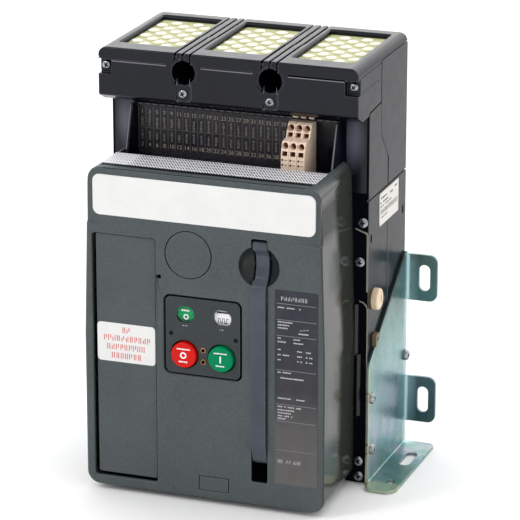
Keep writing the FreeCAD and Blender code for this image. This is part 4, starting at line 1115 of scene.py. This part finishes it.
def rear_housing():
    front, upper, seam = REAR_DEPTH - 0.25, CHUTE_SEAM_DEPTH - 0.25, CAP_SEAM - 0.25
    outline = [(0, 1), (front, 1), (front, SHOULDER_LOW), (upper, SHOULDER_HIGH), (upper, seam), (0, seam)]
    body = prism_x("rear_housing_shell", outline, -HALF, HALF)
    chamber = [(5, 6), (front - 4, 6), (front - 4, SHOULDER_LOW + 2), (upper - 4, SHOULDER_HIGH + 2),
               (upper - 4, TOP + 2), (5, TOP + 2)]
    cuts = []
    for x in POLES:
        cuts += [prism_x("chamber", chamber, x - 31, x + 31),
                 box("seat", x - 26, x + 26, 6, 70, 332, TOP + 2),
                 box("upper_port", x - 24, x + 24, -1, 6, 205, 250),
                 box("lower_port", x - 24, x + 24, -1, 6, 50, 95),
                 box("lever_port", x - 8, x + 8, 40, 50, 136, 184)]
    cuts += [prism_y("rear_flute", rect(x - 2.2, x + 2.2, 16, 320, 2.0), -1, 2.4) for x in (-35.0, 35.0)]
    cuts += [prism_y("rear_relief", rect(x - 25, x + 25, z - 11, z + 11, 3.0), -1, 1.2)
             for z in (30.0, 150.0, 275.0) for x in POLES]
    combine(body, cuts)
    combine(body, side_groove(-1, 120, LOWER_SEAM - 0.6, LOWER_SEAM + 0.6, 1.3)
            + side_groove(5.4, 8.6, 196.6, 203.0, 3.0)
            + side_groove(45.2, 47.0, LOWER_SEAM, SHOULDER_LOW + 0.6, 1.3))
    dress(body, BLACK, "moulding_black", nodes=["rear_housing"], soft=0.35)


def front_housing():
    rear, seam = REAR_DEPTH + 0.25, CHUTE_SEAM_DEPTH + 0.25
    outline = [(rear, 1), (70, 1), (72, 0.2), (FLANGE_DEPTH, 0.2), (FLANGE_DEPTH, 297.3), (92.2, 299.6),
               (seam, 301.4), (seam, SHOULDER_HIGH), (rear, SHOULDER_LOW)]
    body = prism_x("front_housing_shell", outline, -HALF, HALF)
    inner, back = HALF - 4, FLANGE_DEPTH - 4
    cuts = [box("room", -inner, inner, 40, back, 5, 246),
            box("upper_room", -inner, inner, 70, back, 246.2, 292), box("doorway", -30, 30, 80, 100, 60, 225)]
    cuts += [rod_x("bearing", POLE_AXIS, 6.05, *both(side, 100, 106)) for side in SIDES]
    combine(body, cuts)
    combine(body, side_groove(40, 100, LOWER_SEAM - 0.6, LOWER_SEAM + 0.6, 1.3)
            + side_groove(85.4, 88.6, 196.0, 202.0, 3.0))
    dress(body, FLANGE, "moulding_black", nodes=["front_housing"], soft=0.4)
    ribs, rim_highlights, bulges = [], [], []
    # Painted highlight: thin pale strips that stand for light caught on the flange's outer edges.
    upper_rim_highlight = [(94.6, 208.9), (101.0, 206.6), (104.0, 205.9), (104.9, 203.6), (104.9, 158.0),
                 (103.6, 158.0), (103.6, 203.0), (102.8, 204.6), (100.6, 205.4), (94.6, 207.7)]
    lower_rim_highlight = [(98.0, 150.6), (101.5, 149.6), (104.2, 146.9), (104.9, 143.0), (104.9, 78.0), (104.2, 78.0),
                 (104.2, 142.8), (103.6, 146.0), (101.2, 148.6), (98.0, 149.7)]
    for side in SIDES:
        for x0, x1, z0, z1 in ((95.3, 97.5, 106.0, 147.6), (97.4, 99.7, 56.0, 107.0)):
            wedge = [(side * x0, 93.5), (side * x0, 96.2), (side * x1, 94.2), (side * x1, 93.5)]
            ribs.append(prism_z("rib", wedge, z0, z1))
        for rim in (upper_rim_highlight, lower_rim_highlight):
            rim_highlights.append(prism_y("rim", [(side * x, z) for x, z in rim], 93.8, 94.3))
        crown = [(side * (85.2 + 19.2 * k / 12), FLANGE_DEPTH - 0.3 + 1.3 * math.sin(math.pi * k / 12))
                 for k in range(13)]
        bulges.append(prism_z("bulge", crown + [(side * 104.4, 93.0), (side * 85.2, 93.0)],
                              LOWER_SEAM + 6, 297.0))
    dress(join("flange_ribs", ribs), RIB, "moulding_black", soft=0.15)
    dress(join("flange_rim_highlights", rim_highlights), RIM_HIGHLIGHT, "moulding_black", soft=0.1)
    # The pillar bulges carry the painted reflection patch.
    dress(join("pillar_bulges", bulges), PILLAR, "moulding_black", soft=0)
    lines = [box("flash", *both(s, HALF - 0.3, HALF + 0.14), 44.2, 44.6, 3.0, 202.0) for s in SIDES]
    dress(join("moulding_flash", lines), INK_DIM, "moulding_black")


# ---- brackets, caps and labels on the sides -----------------------------------------------------
def bend(side, radius, height):
    """Outline of the filled inside corner where a tab or foot leaves the plate."""
    inner, out = PLATE_OUT - 0.5, PLATE_OUT + radius
    points = [(inner, 1.5), (inner, height)]
    for k in range(7):
        a = math.radians(90 * k / 6)
        points.append((out - radius * math.cos(a), PLATE + radius - radius * math.sin(a)))
    return [(side * x, d) for x, d in points + [(out, 1.5)]]


def bracket(side):
    hand = "right" if side > 0 else "left"
    outline = rounded([(0, 0), (97.0, 0), (96.3, 96), (94, 101.5), (8, 161), (0, 163)], [0, 2, 3, 3, 3, 0], 4)
    plate = prism_x("bracket_%s_plate" % hand, outline, *both(side, HALF, PLATE_OUT))
    reach = FOOT_FRONT[side]
    heel = min(reach, 96.0) - 0.5
    slot = both(side, *SLOT_X)
    slot_half, slot_r, tab_half = 10.8, 4.49, 19.3
    parts, cuts = [], []
    for centre in TAB_CENTRES:
        face = rect(*both(side, PLATE_OUT - 12, TAB_REACH), centre - tab_half, centre + tab_half, 6.5, 8)
        tab = prism_y("tab", face, 0, PLATE)
        combine(tab, [box("trim", *both(side, PLATE_OUT - 20, HALF + 0.2), -2, 6, 0, 200)])
        parts += [tab, prism_z("bend", bend(side, 3.0, 5.4), centre - 19.0, centre + 19.0)]
        cuts.append(prism_y("slot", rect(*slot, centre - slot_half, centre + slot_half, slot_r, 10), -2, 6))
    foot = [(HALF + 0.2, 1.0), (TAB_REACH, 1.0), (TAB_REACH, reach), (PLATE_OUT, reach), (PLATE_OUT, heel),
            (HALF + 0.2, heel)]
    foot = rounded([(side * x, d) for x, d in foot], [0, 5, 9, 8, 0, 0], 8)
    parts += [prism_z("foot", foot, 0, PLATE), prism_y("bend", bend(side, 1.3, 3.8), 3.0, heel)]
    combine(plate, parts, "UNION")
    cuts.append(prism_z("foot_slot", rect(*slot, 25.0, 53.0, slot_r, 10), -2, 6))
    if reach > 95:
        cuts.append(prism_z("foot_hole", rect(*both(side, 120.4, 127.6), 86.0, 94.0, 3.3, 8), -2, 6))
    combine(plate, cuts)
    dress(plate, ZINC, "bracket_zinc", nodes=["bracket_" + hand], soft=0.35)


def side_fittings():
    front_screws = ((92.2, 71.0), (92.2, 28.9))
    places = [(s * PLATE_OUT, d, z, "right" if s > 0 else "left")
              for s in SIDES for d, z in front_screws + ((4.7, 77.2),)]
    screws("bracket_screw_heads", places, 4.5, 3.8, SCREW, "zinc_screw", ["bracket_screws"])
    clips = [box("clip", *both(s, HALF + 0.4, HALF + 3.3), 91.6, 98.5, z - 4.9, z + 4.9)
             for s in SIDES for d, z in front_screws]
    dress(join("bracket_clips", clips), CLIP, "zinc_screw", soft=0.5)
    places = [(s * x, FLANGE_DEPTH, z, "front")
              for s in SIDES for x, z in ((100.5, 213.7), (98.4, 182.0), (99.0, 18.5), (99.3, 6.0))]
    screws("flange_screw_heads", places, 4.2, 2.9, SCREW, "zinc_screw", ["flange_screws"])
    depth, z = POLE_AXIS
    caps, pegs = [], []
    button = ((8.4, -0.5), (8.6, 0.4), (8.6, 3.7), (8.2, 4.7), (7.2, 5.1), (0.8, 5.1))
    for s in SIDES:
        profile = [(r, s * (HALF + x)) for r, x in button]
        key = rect(depth - 3.4, depth - 1.2, z - 2.6, z + 2.6, 1.0, 4)
        caps.append(combine(turned_x("cap", POLE_AXIS, profile),
                            [prism_x("key", key, *both(s, HALF + 2.6, HALF + 8))]))
        shape = rounded([(82.0, 108.9), (82.0, 119.2), (72.6, 119.2), (72.6, 115.7)], [0.6, 1.4, 1.4, 0.6], 4)
        pegs.append(combine(prism_x("peg", shape, *both(s, HALF - 0.3, HALF + 3.4)),
                            [rod_x("hole", (78.2, 115.4), 1.5, *both(s, HALF + 1.5, HALF + 5), 20)]))
    dress(join("shaft_cap_discs", caps), CAP, "cap_tan", nodes=["shaft_caps"], soft=0.35)
    dress(join("side_pegs", pegs), PEG, "cap_tan", soft=0.25)
    side_label()


def side_label():
    outline = rounded([(19.9, 202.8), (67.0, 202.8), (67.8, 206.5), (67.8, 229.0), (19.9, 229.0)],
                      [1.0, 1.0, 1.0, 2.0, 1.0], 3)
    label = prism_x("side_label_sheet", outline, HALF - 0.1, HALF + 0.28)
    dress(label, PAPER, "label_white", nodes=["side_label"], soft=0.06)
    rng = random.Random(8)
    parts = []
    for line in ((50.0, 65.6, 223.4, 2.2, 2.6, 0.0), (46.0, 65.6, 219.8, 2.0, 2.4, 0.1),
                 (24.0, 30.0, 224.4, 2.0, 2.4, 0.0), (35.0, 41.0, 222.4, 2.0, 2.4, 0.0),
                 (38.0, 65.6, 217.2, 1.4, 2.0, 0.1), (48.0, 65.6, 208.2, 1.5, 2.2, 0.1),
                 (22.5, 65.6, 211.4, 4.0, 1.9, 0.0)):
        parts += [box("mark", HALF + 0.2, HALF + 0.33, d0, d1, z0, z1)
                  for d0, d1, z0, z1 in text_rects(rng, *line)]
    dress(join("side_label_text", parts), INK, "label_white")


# ---- nodes that keep their CAD shape ------------------------------------------------------------
def dress_nodes():
    for name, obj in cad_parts.items():
        if obj.hide_render:
            continue
        material = STEEL
        if "terminal_" in name or name.startswith("moving_contact"):
            material = COPPER
        elif name.startswith("splitter"):
            material = PLATES
        elif name.endswith("spring"):
            material = SPRING
        if not obj.material_slots:
            obj.data.materials.append(None)
        for slot in obj.material_slots:
            slot.link = "OBJECT"
            slot.material = material
        modifier = obj.modifiers.new("edges", "BEVEL")
        modifier.width = 0.25 * MM
        modifier.segments = 2
        modifier.limit_method = "ANGLE"
        modifier.angle_limit = math.radians(45)


# ---- stage, light and camera --------------------------------------------------------------------
def stage():
    reach, level = 6, -0.0002
    corners = [(x * reach, y * reach, level) for x, y in ((-1, -1), (1, -1), (1, 1), (-1, 1))]
    floor = make_object("floor", corners, [(0, 1, 2, 3)])
    n = Nodes("floor_paper")
    n.shade(n.ramp(n.noise(3.0), [(0.3, (0.9, 0.9, 0.9, 1)), (0.7, (0.93, 0.93, 0.93, 1))]), 0.9, 1.2)
    floor.data.materials.append(n.owner)
    n = Nodes("studio", bpy.data.worlds)
    bpy.context.scene.world = n.owner
    background = n.tree.nodes["Background"].inputs
    n.feed(background["Color"], (1.0, 1.0, 1.0, 1.0))
    behind = n.coordinate("Y", n.add("TexCoord").outputs["Generated"])
    n.feed(background["Strength"], n.span(behind, -0.2, 0.9, 0.92, 1.9))
    for name, place, size, power in (("key", (-1.3, -1.5, 1.9), (0.5, 0.8), 16.0),
                                     ("top", (0.2, 0.4, 2.2), (1.6, 1.2), 8.0)):
        light = bpy.data.lights.new(name, "AREA")
        light.shape = "RECTANGLE"
        light.size, light.size_y = size
        light.energy = power
        lamp = add_object(name, light)
        lamp.location = place
        lamp.rotation_euler = (Vector((0, 0, 0.17)) - Vector(place)).to_track_quat("-Z", "Y").to_euler()
    camera = add_object("camera", bpy.data.cameras.new("camera"))
    target = Vector((15.39, -1.0, 172.87)) * MM
    azimuth, elevation, distance = math.radians(19.95), math.radians(18.16), 2.42956
    back = Vector((math.sin(azimuth) * math.cos(elevation), -math.cos(azimuth) * math.cos(elevation),
                   math.sin(elevation)))
    camera.location = target + back * distance
    camera.rotation_euler = (-back).to_track_quat("-Z", "Y").to_euler()
    camera.data.lens = 216.57
    camera.data.sensor_width = 36.0
    camera.data.clip_end = 20.0
    bpy.context.scene.camera = camera
    bpy.context.scene.view_settings.view_transform = "Standard"


front_cover()
button_panel()
indicators()
push_buttons()
charging_handle()
cover_fittings()
wiring_terminals()
wiring_block()
arc_chutes()
rear_housing()
front_housing()
for hand in SIDES:
    bracket(hand)
side_fittings()
dress_nodes()
stage()
